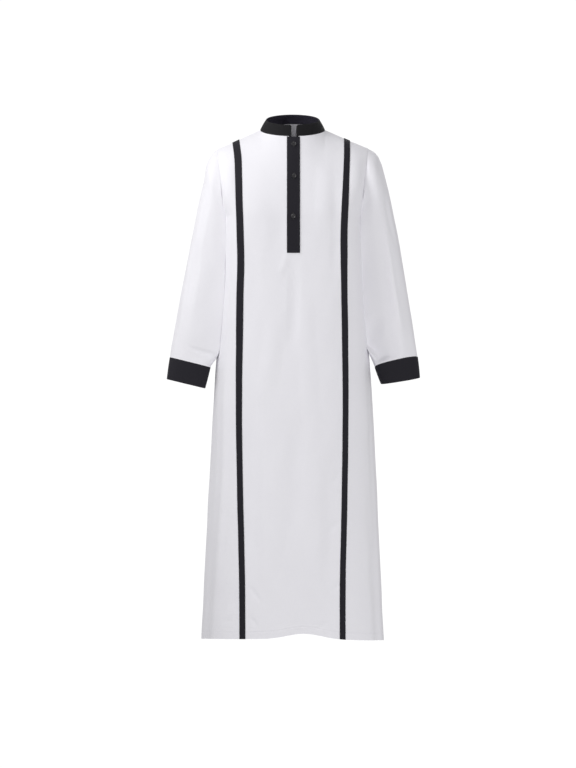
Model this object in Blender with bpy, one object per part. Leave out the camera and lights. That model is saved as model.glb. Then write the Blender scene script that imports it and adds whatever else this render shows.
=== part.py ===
"""A man's thobe robe, worn form and hollow: white front, back and sleeves, with a black standing collar,
half placket, two flat tapes and cuffs.

Metres, +Z up. +X is the viewer's right, the front faces -Y, and the origin lies between the two high
shoulder points, where a wearer's neck and shoulders hold the robe up. "Drop" is the distance below that
level. Every cloth piece is a thin wall: a grid of outer points, and the same grid moved in by the wall.
"""

import math

import bmesh
import bpy
import numpy as np

# --- Driving dimensions -------------------------------------------------------------------------------

SEAM_GAP = 0.0003
BODY_WALL = 0.0013
SLEEVE_WALL = 0.0013
COLLAR_WALL = 0.0024
CUFF_WALL = 0.0020
PLACKET_WALL = 0.0015
TAPE_WALL = 0.0010

# The neckline is a tilted ellipse, and the collar's top edge is a smaller one above it.
NECK_HALF_WIDTH = 0.0887
NECK_HALF_DEPTH = 0.0725
NECK_MIDDLE_Y = -0.0025
NECK_MIDDLE_Z = -0.0027
NECK_TILT = 0.0256
COLLAR_TOP_HALF_WIDTH = 0.0740
COLLAR_TOP_HALF_DEPTH = 0.0575
COLLAR_TOP_MIDDLE_Z = 0.0272
COLLAR_TOP_TILT = 0.0211
COLLAR_LIFT = 0.0005
COLLAR_PROUD = 0.0006
COLLAR_BOW = 0.0010
COLLAR_ENDS_X = (-0.0044, 0.0121)

SHOULDER_TIP = np.array([0.2107, 0.008, -0.056])
RIGHT_SHOULDER_RISE = 0.003
CHEST_DROP = 0.245
HEM_DROP = 1.400

# How steeply the cloth crosses the shoulder seam, rising to the back of the neck, how the ridge would rise
# inside the neckline, and how far the cloth keeps its directions at the seam and at the chest.
NECK_SLOPE = math.radians(19)
TIP_SLOPE = math.radians(2)
NECK_RISE = 2.5
TOP_REACH = 0.21
CHEST_REACH = 0.25
CHEST_LEAN = 0.010

# Columns: drop, half width, depth of the front, depth of the back, squareness of the section.
BODY_SECTIONS = (
    (0.245, 0.1905, 0.135, 0.130, 3.8),
    (0.350, 0.1908, 0.137, 0.129, 3.8),
    (0.430, 0.1932, 0.139, 0.130, 3.6),
    (0.500, 0.1985, 0.141, 0.132, 3.4),
    (0.593, 0.2078, 0.144, 0.137, 3.1),
    (0.720, 0.2184, 0.148, 0.144, 2.9),
    (0.909, 0.2296, 0.153, 0.154, 2.5),
    (1.130, 0.2398, 0.159, 0.165, 2.5),
    (1.400, 0.2508, 0.165, 0.175, 2.5),
)

# The armhole is an oval from the shoulder tip round the front and back to the underarm.
ARMHOLE_FRONT = 0.072
ARMHOLE_BACK = 0.076
ARMHOLE_FULL_BELOW = 0.6
ARMHOLE_FRONT_SCOOP = 0.005
ARMHOLE_BACK_SCOOP = 0.002

# Hem: the front rises with its depth, has a low arch near its middle, and sinks a little to the right.
HEM_RISE_WITH_DEPTH = 0.105
HEM_ARCH = 0.0145
HEM_ARCH_X = 0.031
HEM_ARCH_WIDTH = 0.065
HEM_ARCH_DEPTH = 0.12
HEM_RIGHT_SINK = 0.004
HEM_SIDE_X = 0.25
BACK_HEM_SINK = 0.002
HEM_BACK_Y = 0.17
HEM_SHAPING_FROM = 1.00

# Columns: angle round the body at the fold's top, the same at the hem, half width in degrees, the drop
# where it starts, depth at the hem. Angle 0 is the front, 90 the viewer's right, 180 the back.
BODY_FOLDS = (
    (2, 8, 24, 1.10, -0.0060),
    (57, 62, 9, 0.78, -0.0055),
    (-60, -63, 8, 0.90, -0.0050),
    (104, 107, 10, 0.52, -0.0100),
    (127, 131, 9, 0.44, -0.0120),
    (152, 150, 11, 0.60, -0.0085),
    (178, 181, 12, 0.50, -0.0110),
    (-154, -151, 10, 0.66, -0.0090),
    (-129, -133, 9, 0.42, -0.0125),
    (-103, -108, 11, 0.56, -0.0090),
)

PLACKET_X = (-0.0140, 0.0198)
SLOT_X = (-0.0100, 0.0160)
SLOT_DROP = 0.340
PLACKET_DROP = 0.3456
PLACKET_TOP_TRIM = 0.004

TAPE_WIDTH = 0.017
TAPE_LIFT = 0.0005
TAPE_TOP_ROW = 0.003
# Columns: drop, distance of the left tape's middle from the centre, and of the right one's.
TAPE_PATH = (
    (0.030, 0.1562, 0.1512),
    (0.086, 0.1486, 0.1474),
    (0.140, 0.1462, 0.1443),
    (0.210, 0.1442, 0.1415),
    (0.300, 0.1410, 0.1392),
    (0.361, 0.1396, 0.1385),
    (0.471, 0.1418, 0.1398),
    (0.608, 0.1434, 0.1412),
    (0.770, 0.1445, 0.1421),
    (0.966, 0.1417, 0.1399),
    (1.120, 0.1383, 0.1368),
    (1.240, 0.1358, 0.1342),
    (1.400, 0.1346, 0.1339),
)
BACK_GUIDE_X = 0.150

# Columns: share of the sleeve's length; the inner edge's distance from the centre, y and drop; the outer
# edge's distance on the left and on the right, y and drop; half of the depth; squareness.
SLEEVE_SECTIONS = (
    (0.00, 0.1905, 0.000, 0.2450, 0.2107, 0.2107, 0.008, 0.0560, 0.0820, 2.0),
    (0.05, 0.1914, -0.003, 0.2510, 0.2250, 0.2355, 0.008, 0.0695, 0.0822, 2.0),
    (0.11, 0.1914, -0.006, 0.2630, 0.2368, 0.2470, 0.007, 0.0960, 0.0815, 2.1),
    (0.18, 0.1914, -0.010, 0.2810, 0.2448, 0.2580, 0.005, 0.1360, 0.0795, 2.4),
    (0.27, 0.1915, -0.014, 0.3090, 0.2566, 0.2704, 0.002, 0.1920, 0.0765, 2.7),
    (0.38, 0.1920, -0.018, 0.3500, 0.2712, 0.2848, -0.002, 0.2640, 0.0730, 2.8),
    (0.50, 0.1941, -0.022, 0.4050, 0.2855, 0.2980, -0.007, 0.3420, 0.0685, 2.8),
    (0.62, 0.1977, -0.026, 0.4680, 0.3015, 0.3120, -0.013, 0.4200, 0.0625, 2.7),
    (0.74, 0.2027, -0.031, 0.5300, 0.3153, 0.3243, -0.019, 0.4950, 0.0550, 2.5),
    (0.85, 0.2084, -0.037, 0.5850, 0.3278, 0.3340, -0.024, 0.5580, 0.0460, 2.3),
    (0.94, 0.2153, -0.043, 0.6280, 0.3352, 0.3400, -0.028, 0.6020, 0.0355, 2.2),
    (1.00, 0.2248, -0.048, 0.6557, 0.3372, 0.3425, -0.030, 0.6280, 0.0285, 2.2),
)

SLEEVE_HEAD = 0.12

# Columns: side, angle round the sleeve (0 outside, 90 in front), half width in degrees, share of the
# length where the fold is deepest, its reach in shares, depth.
SLEEVE_FOLDS = (
    ("right", 118, 26, 0.88, 0.16, -0.0060),
    ("right", 70, 24, 0.80, 0.22, 0.0030),
    ("right", 250, 30, 0.66, 0.14, -0.0060),
    ("left", 62, 26, 0.58, 0.16, -0.0035),
    ("left", 122, 28, 0.86, 0.14, -0.0040),
    ("left", 255, 30, 0.70, 0.15, -0.0060),
)

# The cuff's lower end: inner edge's distance, y and drop, outer edge's distance, y and drop.
CUFF_ENDS = {
    "left": (0.2400, -0.049, 0.7090, 0.3440, -0.032, 0.6845),
    "right": (0.2408, -0.049, 0.7010, 0.3478, -0.032, 0.6815),
}
CUFF_HALF_DEPTH = 0.0265
# How far the front of the sleeve's last ring and of the cuff's end is higher than its middle.
RING_TILTS = {"left": (0.001, 0.0), "right": (0.008, -0.003)}
RING_TILT_FROM = 0.75
CUFF_LIFT = 0.0005
CUFF_PROUD = 0.0004

BUTTON_RADIUS = 0.00635
BUTTON_THICKNESS = 0.0024
# The turned outline, from the base up and in to the dished middle: shares of the radius and the thickness.
BUTTON_PROFILE = (
    (0.90, 0.00),
    (1.00, 0.35),
    (1.00, 0.75),
    (0.92, 1.00),
    (0.78, 0.90),
    (0.65, 0.67),
)
# Columns: name, distance from the centre, drop.
BUTTONS = (
    ("button_1", 0.0030, 0.0503),
    ("button_2", 0.0036, 0.1389),
    ("button_3", 0.0014, 0.2482),
)

# Where the grids have their rows and columns. A column is a number: 0 to 1 from the centre to the side of
# the neck, 1 to 2 on to the tape, 2 to 3 across the tape, 3 to 4 on to the armhole and side seam.
YOKE_ROWS = (0, 0.05, 0.12, 0.20, 0.29, 0.38, 0.47, 0.56, 0.65, 0.74, 0.83, 0.92, 1)
SKIRT_ROWS = (0.292, 0.340, *np.linspace(0.40, 1.18, 11), 1.25, 1.31, 1.36)
NECK_COLUMNS = (0.40, 0.60, 0.77, 0.89, 0.97)
BACK_NECK_COLUMN = 0.21
OUTER_COLUMNS = (1, 1.5, 2, 3, 3.2, 3.4, 3.6, 3.8, 4)
SLEEVE_RINGS = (0, 0.03, 0.06, 0.10, 0.15, 0.20, *np.linspace(0.26, 0.86, 11), 0.91, 0.96, 1)
CUFF_RINGS = 3
COLLAR_ROWS = 3
BUTTON_ROUND = 20
WRAP_SAMPLES = 40
WRAP_CROWDING = 1.4
HALVINGS = 40
SMALL_STEP = 0.003
SHARP_ABOVE = math.radians(60)

WHITE = (0.86, 0.86, 0.89, 1)
BLACK = (0.018, 0.018, 0.022, 1)
BUTTON_GREY = (0.030, 0.028, 0.030, 1)
SIDES = {"left": -1, "right": 1}

# --- Helpers ------------------------------------------------------------------------------------------


def read_table(table, key):
    """The table's other columns at `key`, on smooth curves through its rows."""
    rows = np.array(table, float)
    keys = rows[:, 0]
    values = rows[:, 1:]
    slopes = np.gradient(values, keys, axis=0)
    key = min(max(key, keys[0]), keys[-1])
    i = min(max(int(np.searchsorted(keys, key)) - 1, 0), len(keys) - 2)
    step = keys[i + 1] - keys[i]
    return hermite(values[i], slopes[i] * step, values[i + 1], slopes[i + 1] * step, (key - keys[i]) / step)


def hermite(start, leaving, end, arriving, t):
    """A cubic from `start` to `end` with the given directions."""
    return (
        start * (1 + 2 * t) * (1 - t) ** 2
        + leaving * t * (1 - t) ** 2
        + end * t**2 * (3 - 2 * t)
        - arriving * t**2 * (1 - t)
    )


def ease(t):
    """0 to 1 with level ends."""
    t = min(max(t, 0.0), 1.0)
    return t * t * (3 - 2 * t)


def bell(distance, half_width):
    """1 in the middle of a fold, 0 from its edges on."""
    share = abs(distance) / half_width
    return (1 - share * share) ** 2 if share < 1 else 0.0


def unit(vectors):
    return vectors / np.linalg.norm(vectors, axis=-1, keepdims=True)


def power(value, exponent):
    return math.copysign(abs(value) ** exponent, value)


# --- The body's surface -------------------------------------------------------------------------------


def section_depth(facing, drop, x):
    """y of the body's section at this x. `facing` is -1 for the front and 1 for the back."""
    half_width, front, back, square = read_table(BODY_SECTIONS, drop)
    share = min(abs(x) / half_width, 1.0)
    return facing * (front if facing < 0 else back) * (1 - share**square) ** (1 / square)


def section_wrap(facing, side, drop, x_from, share):
    """The point `share` of the way round the section, from x_from to the side seam."""
    half_width, front, back, square = read_table(BODY_SECTIONS, drop)
    depth = front if facing < 0 else back
    start = math.acos(min(x_from / half_width, 1.0) ** (square / 2))
    angles = start * (1 - np.linspace(0, 1, WRAP_SAMPLES)) ** WRAP_CROWDING
    xs = half_width * np.cos(angles) ** (2 / square)
    ys = depth * np.sin(angles) ** (2 / square)
    lengths = np.concatenate([[0], np.cumsum(np.hypot(np.diff(xs), np.diff(ys)))])
    at = share * lengths[-1]
    return np.array([side * np.interp(at, lengths, xs), facing * np.interp(at, lengths, ys), -drop])


def folded(point):
    """The point moved in or out by the body's folds, along the section's own normal."""
    drop = -point[2]
    half_width, front, back, square = read_table(BODY_SECTIONS, drop)
    depth = front if point[1] < 0 else back
    angle = math.degrees(math.atan2(point[0] / half_width, -point[1] / depth))
    offset = 0.0
    for top_angle, hem_angle, half_angle, start, fold_depth in BODY_FOLDS:
        grown = (drop - start) / (HEM_DROP - start)
        middle = top_angle + (hem_angle - top_angle) * grown
        turn = (angle - middle + 180) % 360 - 180
        offset += fold_depth * ease(grown) * bell(turn, half_angle)
    outward = np.array([
        power(point[0] / half_width, square - 1) / half_width,
        power(point[1] / depth, square - 1) / depth,
        0,
    ])
    return point + unit(outward) * offset


def tape_edge(side, drop, outer):
    """Distance of a tape's inner or outer edge from the centre."""
    left, right = read_table(TAPE_PATH, drop)
    return (right if side > 0 else left) + (TAPE_WIDTH / 2 if outer else -TAPE_WIDTH / 2)


def guide_edge(facing, side, drop, outer):
    """The two lines that columns 2 and 3 follow: the tape's edges in front, a straight pair behind."""
    if facing < 0:
        return tape_edge(side, drop, outer)
    return BACK_GUIDE_X + (TAPE_WIDTH / 2 if outer else -TAPE_WIDTH / 2)


def column_x(facing, side, column, drop):
    """x of a column up to 3 at this drop."""
    if column <= 1:
        return side * NECK_HALF_WIDTH * column
    inner = guide_edge(facing, side, drop, False)
    if column <= 2:
        return side * (NECK_HALF_WIDTH + (inner - NECK_HALF_WIDTH) * (column - 1))
    return side * (inner + TAPE_WIDTH * (column - 2))


def shoulder_tip(side):
    """The outer end of the shoulder seam, as if on the right side; the right one sits a little higher."""
    return SHOULDER_TIP + np.array([0, 0, RIGHT_SHOULDER_RISE if side > 0 else 0])


def ridge(x):
    """The shoulder seam's y and z at this x, carried on over the neck's opening, and the slope with which
    the cloth crosses it, up towards the back."""
    distance = abs(x)
    tip = shoulder_tip(x)
    share = (distance - NECK_HALF_WIDTH) / (tip[0] - NECK_HALF_WIDTH)
    inside = max(NECK_HALF_WIDTH - distance, 0.0)
    y = NECK_MIDDLE_Y + max(share, 0.0) * (tip[1] - NECK_MIDDLE_Y)
    z = NECK_MIDDLE_Z + share * (SHOULDER_TIP[2] - NECK_MIDDLE_Z) + NECK_RISE * inside**2
    z += max(share, 0.0) * (tip[2] - SHOULDER_TIP[2])
    slope = NECK_SLOPE + (TIP_SLOPE - NECK_SLOPE) * ease(share)
    return y, z, slope


def armhole(side, angle):
    """The armhole seam: angle 0 at the shoulder tip, 90 in front, 180 at the underarm, 270 behind."""
    half_width = read_table(BODY_SECTIONS, CHEST_DROP)[0]
    tip = shoulder_tip(side)
    underarm = np.array([half_width, 0, -CHEST_DROP])
    point = (tip + underarm) / 2 + (tip - underarm) / 2 * math.cos(angle)
    forward = math.sin(angle)
    fuller = 1 + ARMHOLE_FULL_BELOW * ((1 - math.cos(angle)) / 2) ** 2
    point[1] -= (ARMHOLE_FRONT if forward > 0 else ARMHOLE_BACK) * fuller * forward
    point[0] -= (ARMHOLE_FRONT_SCOOP if forward > 0 else ARMHOLE_BACK_SCOOP) * abs(forward)
    point[0] *= side
    return point


def fall(facing, x_top, x_chest, row):
    """y and z of the line that falls from the ridge (row 0) to the chest line (row 1)."""
    y, z, slope = ridge(x_top)
    end = np.array([section_depth(facing, CHEST_DROP, x_chest), -CHEST_DROP])
    leaving = TOP_REACH * np.array([facing * math.cos(slope), facing * math.sin(slope)])
    arriving = np.array([facing * CHEST_LEAN, -CHEST_REACH])
    return hermite(np.array([y, z]), leaving, end, arriving, row)


def fall_from_neckline(facing, x, row):
    """The same for a column that starts at the neckline: it joins its line from the ridge part way down."""
    forward = math.sqrt(max(1 - (x / NECK_HALF_WIDTH) ** 2, 0.0))
    neck_y = NECK_MIDDLE_Y + facing * NECK_HALF_DEPTH * forward
    neck_z = NECK_MIDDLE_Z + facing * NECK_TILT * forward
    low, high = 0.0, 1.0
    for _ in range(HALVINGS):
        start = (low + high) / 2
        if facing * (fall(facing, x, x, start)[0] - neck_y) < 0:
            low = start
        else:
            high = start
    short = neck_z - fall(facing, x, x, start)[1]
    y, z = fall(facing, x, x, start + (1 - start) * row)
    return y, z + short * (1 - row) ** 3


def yoke_point(facing, side, column, row):
    """The body between its top edge (row 0) and the chest line (row 1)."""
    if column <= 1:
        x = side * NECK_HALF_WIDTH * column
        return np.array([x, *fall_from_neckline(facing, x, row)])
    if column <= 3:
        top = column_x(facing, side, column, TAPE_PATH[0][0])
        y, z = fall(facing, top, column_x(facing, side, column, CHEST_DROP), row)
        return np.array([column_x(facing, side, column, -z), y, z])
    share = column - 3
    curve = outer_line(facing, side, share, row)
    tape_off = yoke_point(facing, side, 3, row) - outer_line(facing, side, 0, row)
    arm_off = armhole(side, math.pi * (row if facing < 0 else 2 - row)) - outer_line(facing, side, 1, row)
    return curve + (1 - share) * tape_off + share * arm_off


def outer_line(facing, side, share, row):
    """A line from the shoulder seam to the chest line, before it is fitted to the tape and the armhole."""
    start = yoke_start(facing, side, share)
    end = section_wrap(facing, side, CHEST_DROP, guide_edge(facing, side, CHEST_DROP, True), share)
    slope = ridge(start[0])[2]
    leaving = TOP_REACH * np.array([0, facing * math.cos(slope), facing * math.sin(slope)])
    down = np.array([0, facing * CHEST_LEAN, -CHEST_REACH])
    round_arm = np.array([0, -facing * CHEST_REACH, 0])
    return hermite(start, leaving, end, down + (round_arm - down) * share, row)


def yoke_start(facing, side, share):
    """The shoulder seam between the tape (0) and the tip (1)."""
    start = yoke_point(facing, side, 3, 0)
    tip = shoulder_tip(side) * np.array([side, 1, 1])
    return start + (tip - start) * share


def hem_offset(facing, x, y):
    """How much higher than HEM_DROP the hem is cut here."""
    if facing > 0:
        return -BACK_HEM_SINK * ease(y / HEM_BACK_Y)
    arch = HEM_ARCH * math.exp(-(((x - HEM_ARCH_X) / HEM_ARCH_WIDTH) ** 2))
    sink = HEM_RIGHT_SINK * ease(x / HEM_SIDE_X)
    return HEM_RISE_WITH_DEPTH * abs(y) + arch * ease(abs(y) / HEM_ARCH_DEPTH) - sink


def skirt_point(facing, side, column, drop):
    """The body below the chest line. The hem's shaping comes in over the lowest part."""
    if column <= 3:
        x = column_x(facing, side, column, drop)
        point = np.array([x, section_depth(facing, drop, x), -drop])
    else:
        x_from = guide_edge(facing, side, drop, True)
        point = section_wrap(facing, side, drop, x_from, column - 3)
    shaping = ease((drop - HEM_SHAPING_FROM) / (HEM_DROP - HEM_SHAPING_FROM))
    point = folded(point)
    point[2] += shaping * hem_offset(facing, point[0], point[1])
    return point


def body_point(facing, column, row):
    """A point of the body's outer surface. Columns left of the centre are negative; rows up to 1 are the
    yoke's, and higher ones are 1 plus the drop below the chest line."""
    side = -1 if column < 0 else 1
    if row <= 1:
        return yoke_point(facing, side, abs(column), row)
    return skirt_point(facing, side, abs(column), CHEST_DROP + row - 1)


def body_rows(lowest=HEM_DROP):
    """The yoke's rows and those of the skirt down to `lowest`."""
    drops = [drop for drop in SKIRT_ROWS if drop < lowest - SEAM_GAP]
    return [*YOKE_ROWS, *(1 + drop - CHEST_DROP for drop in [*drops, lowest])]


# --- Walls --------------------------------------------------------------------------------------------


def grid_normals(grid, closed=False):
    """Unit normals of a grid of points, from its rows (running down) and columns (left to right)."""
    down = np.gradient(grid, axis=0)
    if closed:
        across = (np.roll(grid, -1, axis=1) - np.roll(grid, 1, axis=1)) / 2
    else:
        across = np.gradient(grid, axis=1)
    return unit(np.cross(down, across))


def add_wall(name, outer, inner, material, closed=False, skip=()):
    """One closed solid between two grids of points. `skip` names cells, by row and column, left open."""
    rows, columns = outer.shape[:2]
    shift = rows * columns
    cells = []
    for r in range(rows - 1):
        for c in range(columns if closed else columns - 1):
            if (r, c) not in skip:
                here = r * columns
                below = here + columns
                after = (c + 1) % columns
                cells.append((here + c, below + c, below + after, here + after))
    edges = {(cell[i], cell[(i + 1) % 4]) for cell in cells for i in range(4)}
    rims = [(b, a, a + shift, b + shift) for a, b in sorted(edges) if (b, a) not in edges]
    faces = [*cells, *(tuple(i + shift for i in reversed(cell)) for cell in cells), *rims]
    mesh = bmesh.new()
    points = np.concatenate([outer.reshape(-1, 3), inner.reshape(-1, 3)])
    vertices = [mesh.verts.new(point) for point in points]
    for face in faces:
        mesh.faces.new([vertices[i] for i in face])
    loose = [vertex for vertex in mesh.verts if not vertex.link_faces]
    bmesh.ops.delete(mesh, geom=loose, context="VERTS")
    return add_object(name, mesh, material)


def add_object(name, mesh, material):
    """The finished bmesh as an object, shaded smooth but for its sharp edges."""
    bmesh.ops.recalc_face_normals(mesh, faces=mesh.faces)
    data = bpy.data.meshes.new(name)
    mesh.to_mesh(data)
    mesh.free()
    data.shade_smooth()
    data.set_sharp_from_angle(angle=SHARP_ABOVE)
    data.materials.append(material)
    placed = bpy.data.objects.new(name, data)
    bpy.context.scene.collection.objects.link(placed)
    return placed


def add_material(name, colour, roughness):
    material = bpy.data.materials.new(name)
    material.use_nodes = True
    shader = material.node_tree.nodes["Principled BSDF"]
    shader.inputs["Base Color"].default_value = colour
    shader.inputs["Roughness"].default_value = roughness
    shader.inputs["Metallic"].default_value = 0.0
    return material


# --- Pieces -------------------------------------------------------------------------------------------


def front_columns():
    """Columns of the front from left to right, with the placket's and the slot's edges among them."""
    left = [*reversed(OUTER_COLUMNS), *reversed(NECK_COLUMNS)]
    edges = [PLACKET_X[0], SLOT_X[0], SLOT_X[1], PLACKET_X[1]]
    return [*(-c for c in left), *(x / NECK_HALF_WIDTH for x in edges), *NECK_COLUMNS, *OUTER_COLUMNS]


def body_grid(facing, columns, rows):
    return np.array([[body_point(facing, column, row) for column in columns] for row in rows])


def seam_normals(side, angle):
    """The direction shared by the body's and the sleeve's walls at the armhole seam."""
    along = armhole(side, angle + SMALL_STEP) - armhole(side, angle - SMALL_STEP)
    middle = (armhole(side, 0) + armhole(side, math.pi)) / 2
    plane = np.cross(armhole(side, 0) - middle, armhole(side, math.pi / 2) - middle)
    outward = unit(np.cross(along, plane))
    return outward * math.copysign(1, outward @ (armhole(side, angle) - middle))


def panel(name, facing, columns, material, skip=()):
    """Front or back: shares its walls' directions with its neighbours at the seams, and stops short of
    them by half of the seam's gap."""
    rows = body_rows()
    grid = body_grid(facing, columns, rows)
    normals = grid_normals(grid)
    seam = len(YOKE_ROWS) - 1
    for c in (0, len(columns) - 1):
        side = -1 if columns[c] < 0 else 1
        for r, row in enumerate(YOKE_ROWS[1:-1], 1):
            normals[r, c] = seam_normals(side, math.pi * (row if facing < 0 else 2 - row))
        normals[seam:, c, 1] = 0
        normals[seam, c] = (side, 0, -1)
        normals[0, c] = seam_normals(side, 0)
        grid[seam:, c, 1] += facing * SEAM_GAP / 2
    for c, column in enumerate(columns):
        if abs(column) >= 1:
            normals[0, c, 1] = 0
            grid[0, c, 1] += facing * SEAM_GAP / 2
    normals = unit(normals)
    add_wall(name, grid, grid - normals * BODY_WALL, material, skip=skip)


def front(material):
    columns = front_columns()
    slot = len(OUTER_COLUMNS) + len(NECK_COLUMNS) + 1
    lowest = len(body_rows(SLOT_DROP)) - 1
    panel("front", -1, columns, material, skip={(r, slot) for r in range(lowest)})


def back(material):
    half = (BACK_NECK_COLUMN, *NECK_COLUMNS, *OUTER_COLUMNS)
    # Seen from behind, the columns run from the viewer's right to the left.
    panel("back", 1, [*reversed(half), 0, *(-column for column in half)], material)


def overlay(name, columns, rows, lift, thickness, material):
    """A strip on the front, made from the front's own points and moved out by `lift`."""
    grid = body_grid(-1, columns, rows)
    right = body_grid(-1, [column + SMALL_STEP for column in columns], rows)
    below = body_grid(-1, columns, [row + SMALL_STEP for row in rows])
    normals = unit(np.cross(below - grid, right - grid))
    base = grid + normals * lift
    add_wall(name, base + normals * thickness, base, material)


def tape(side_name, material):
    side = SIDES[side_name]
    columns = sorted(side * column for column in (2, 2.5, 3))
    rows = body_rows()
    rows[0] = TAPE_TOP_ROW
    overlay("tape_" + side_name, columns, rows, TAPE_LIFT, TAPE_WALL, material)


def placket(material):
    middle = sum(SLOT_X) / 2
    edges = (PLACKET_X[0], SLOT_X[0], middle, SLOT_X[1], PLACKET_X[1])
    rows = body_rows(PLACKET_DROP)
    rows[0] = PLACKET_TOP_TRIM
    columns = [x / NECK_HALF_WIDTH for x in edges]
    overlay("placket_upper", columns, rows, SEAM_GAP, PLACKET_WALL, material)
    inside = (SLOT_X[0] + SEAM_GAP, middle, SLOT_X[1] - SEAM_GAP)
    rows = body_rows(SLOT_DROP - SEAM_GAP)
    rows[0] = PLACKET_TOP_TRIM
    columns = [x / NECK_HALF_WIDTH for x in inside]
    overlay("placket_under", columns, rows, -PLACKET_WALL, PLACKET_WALL, material)


def sleeve_angles(side):
    """Angles round the armhole at which the front's and the back's rows end, so that the seams match.
    Seen from outside, they run from left to right."""
    front_half = [math.pi * row for row in YOKE_ROWS]
    angles = [*front_half, *(2 * math.pi - angle for angle in reversed(front_half[1:-1]))]
    return angles if side < 0 else angles[::-1]


def sleeve_ring(side_name, share, angles):
    """One ring of the sleeve, at these angles: 0 outside, 90 degrees in front, 180 inside, 270 behind."""
    side = SIDES[side_name]
    row = read_table(SLEEVE_SECTIONS, share)
    inner_x, inner_y, inner_drop = row[:3]
    outer_x = row[4] if side > 0 else row[3]
    outer_y, outer_drop, half_depth, square = row[5:]
    inner = np.array([inner_x, inner_y, -inner_drop])
    outer = np.array([outer_x, outer_y, -outer_drop])
    # The ring leaves the armhole's own shape over the first part of the sleeve.
    held = 1 - ease(share / SLEEVE_HEAD)
    outer += held * (shoulder_tip(side) - SHOULDER_TIP)
    middle = (inner + outer) / 2
    across = (outer - inner) / 2
    tilt = RING_TILTS[side_name][0] * ease((share - RING_TILT_FROM) / (1 - RING_TILT_FROM))
    forward = np.array([0, -half_depth, tilt])
    ring = []
    for angle in angles:
        swell = 1 + sleeve_fold(side_name, math.degrees(angle), share) / np.linalg.norm(across)
        spoke = across * power(math.cos(angle), 2 / square) + forward * power(math.sin(angle), 2 / square)
        oval = across * math.cos(angle) + forward * math.sin(angle)
        seam_shape = armhole(side, angle) - (armhole(side, 0) + armhole(side, math.pi)) / 2
        seam_shape[0] *= side
        ring.append((middle + swell * spoke + held * (seam_shape - oval)) * np.array([side, 1, 1]))
    return ring


def sleeve_fold(side_name, angle, share):
    offset = 0.0
    for fold_side, middle, half_angle, deepest, reach, depth in SLEEVE_FOLDS:
        if fold_side == side_name:
            turn = (angle - middle + 180) % 360 - 180
            offset += depth * bell(turn, half_angle) * bell(share - deepest, reach)
    return offset


def sleeve(side_name, material):
    side = SIDES[side_name]
    angles = sleeve_angles(side)
    grid = np.array([sleeve_ring(side_name, share, angles) for share in SLEEVE_RINGS])
    normals = grid_normals(grid, closed=True)
    normals[0] = [seam_normals(side, angle) for angle in angles]
    normals[0, angles.index(math.pi)] = unit(np.array([-side, 0, -1.0]))
    grid[0] += (side * SEAM_GAP, 0, 0)
    add_wall("sleeve_" + side_name, grid, grid - normals * SLEEVE_WALL, material, closed=True)
    return grid[-1]


def cuff(side_name, top_ring, material):
    """A band that carries on from the sleeve's last ring and flattens to its own oval."""
    side = SIDES[side_name]
    ends = np.reshape(CUFF_ENDS[side_name], (2, 3))
    inner, outer = (np.array([side * x, y, -drop]) for x, y, drop in ends)
    angles = sleeve_angles(side)
    top_outer = top_ring[angles.index(0)]
    top_middle = (top_outer + top_ring[angles.index(math.pi)]) / 2
    spokes = top_ring - top_middle
    across = unit(top_outer - top_middle)
    forward = unit(np.array([0, -1.0, 0]) + across * across[1])
    shares = spokes @ across
    depths = spokes @ forward
    end_forward = CUFF_HALF_DEPTH * forward + np.array([0, 0, RING_TILTS[side_name][1]])
    end_ring = (inner + outer) / 2 + np.outer(shares / np.abs(shares).max(), (outer - inner) / 2)
    end_ring += np.outer(depths / np.abs(depths).max(), end_forward)
    axis = unit(end_ring.mean(axis=0) - top_middle)
    grid = np.array([top_ring + (end_ring - top_ring) * row for row in np.linspace(0, 1, CUFF_RINGS + 1)])
    grid += axis * CUFF_LIFT
    normals = grid_normals(grid, closed=True)
    grid += normals * CUFF_PROUD
    add_wall("cuff_" + side_name, grid, grid - normals * CUFF_WALL, material, closed=True)


def collar_angles():
    """Angles round the neck at which the front's and the back's grids meet the neckline, from the collar's
    right end round the back to its left end."""
    front_right = [math.asin(share) for share in (PLACKET_X[1] / NECK_HALF_WIDTH, *NECK_COLUMNS, 1)]
    front_left = [math.asin(share) for share in (PLACKET_X[0] / -NECK_HALF_WIDTH, *NECK_COLUMNS, 1)]
    behind = [math.asin(share) for share in (0, BACK_NECK_COLUMN, *NECK_COLUMNS)]
    right_half = [*front_right, *(math.pi - angle for angle in reversed(behind))]
    left_half = [math.pi + angle for angle in behind[1:]]
    left_half += [2 * math.pi - angle for angle in reversed(front_left)]
    return [*right_half, *left_half]


def collar(material):
    """The standing band, from its right end round the back to its left end."""
    rings = []
    for r in range(COLLAR_ROWS + 1):
        up = 1 - r / COLLAR_ROWS
        half_width = NECK_HALF_WIDTH + (COLLAR_TOP_HALF_WIDTH - NECK_HALF_WIDTH) * up
        half_depth = NECK_HALF_DEPTH + (COLLAR_TOP_HALF_DEPTH - NECK_HALF_DEPTH) * up
        middle_z = NECK_MIDDLE_Z + (COLLAR_TOP_MIDDLE_Z - NECK_MIDDLE_Z) * up
        tilt = NECK_TILT + (COLLAR_TOP_TILT - NECK_TILT) * up
        bow = COLLAR_BOW * 4 * up * (1 - up)
        first = math.asin(COLLAR_ENDS_X[1] / half_width)
        last = 2 * math.pi + math.asin(COLLAR_ENDS_X[0] / half_width)
        angles = np.array([first, *collar_angles(), last])
        xs = (half_width + bow) * np.sin(angles)
        ys = NECK_MIDDLE_Y - (half_depth + bow) * np.cos(angles)
        rings.append(np.stack([xs, ys, middle_z - tilt * np.cos(angles)], axis=1))
    grid = np.array(rings)
    normals = grid_normals(grid)
    up = unit(grid[0] - grid[-1])
    grid += up * COLLAR_LIFT + normals * COLLAR_PROUD
    add_wall("collar", grid, grid - normals * COLLAR_WALL, material)


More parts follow.
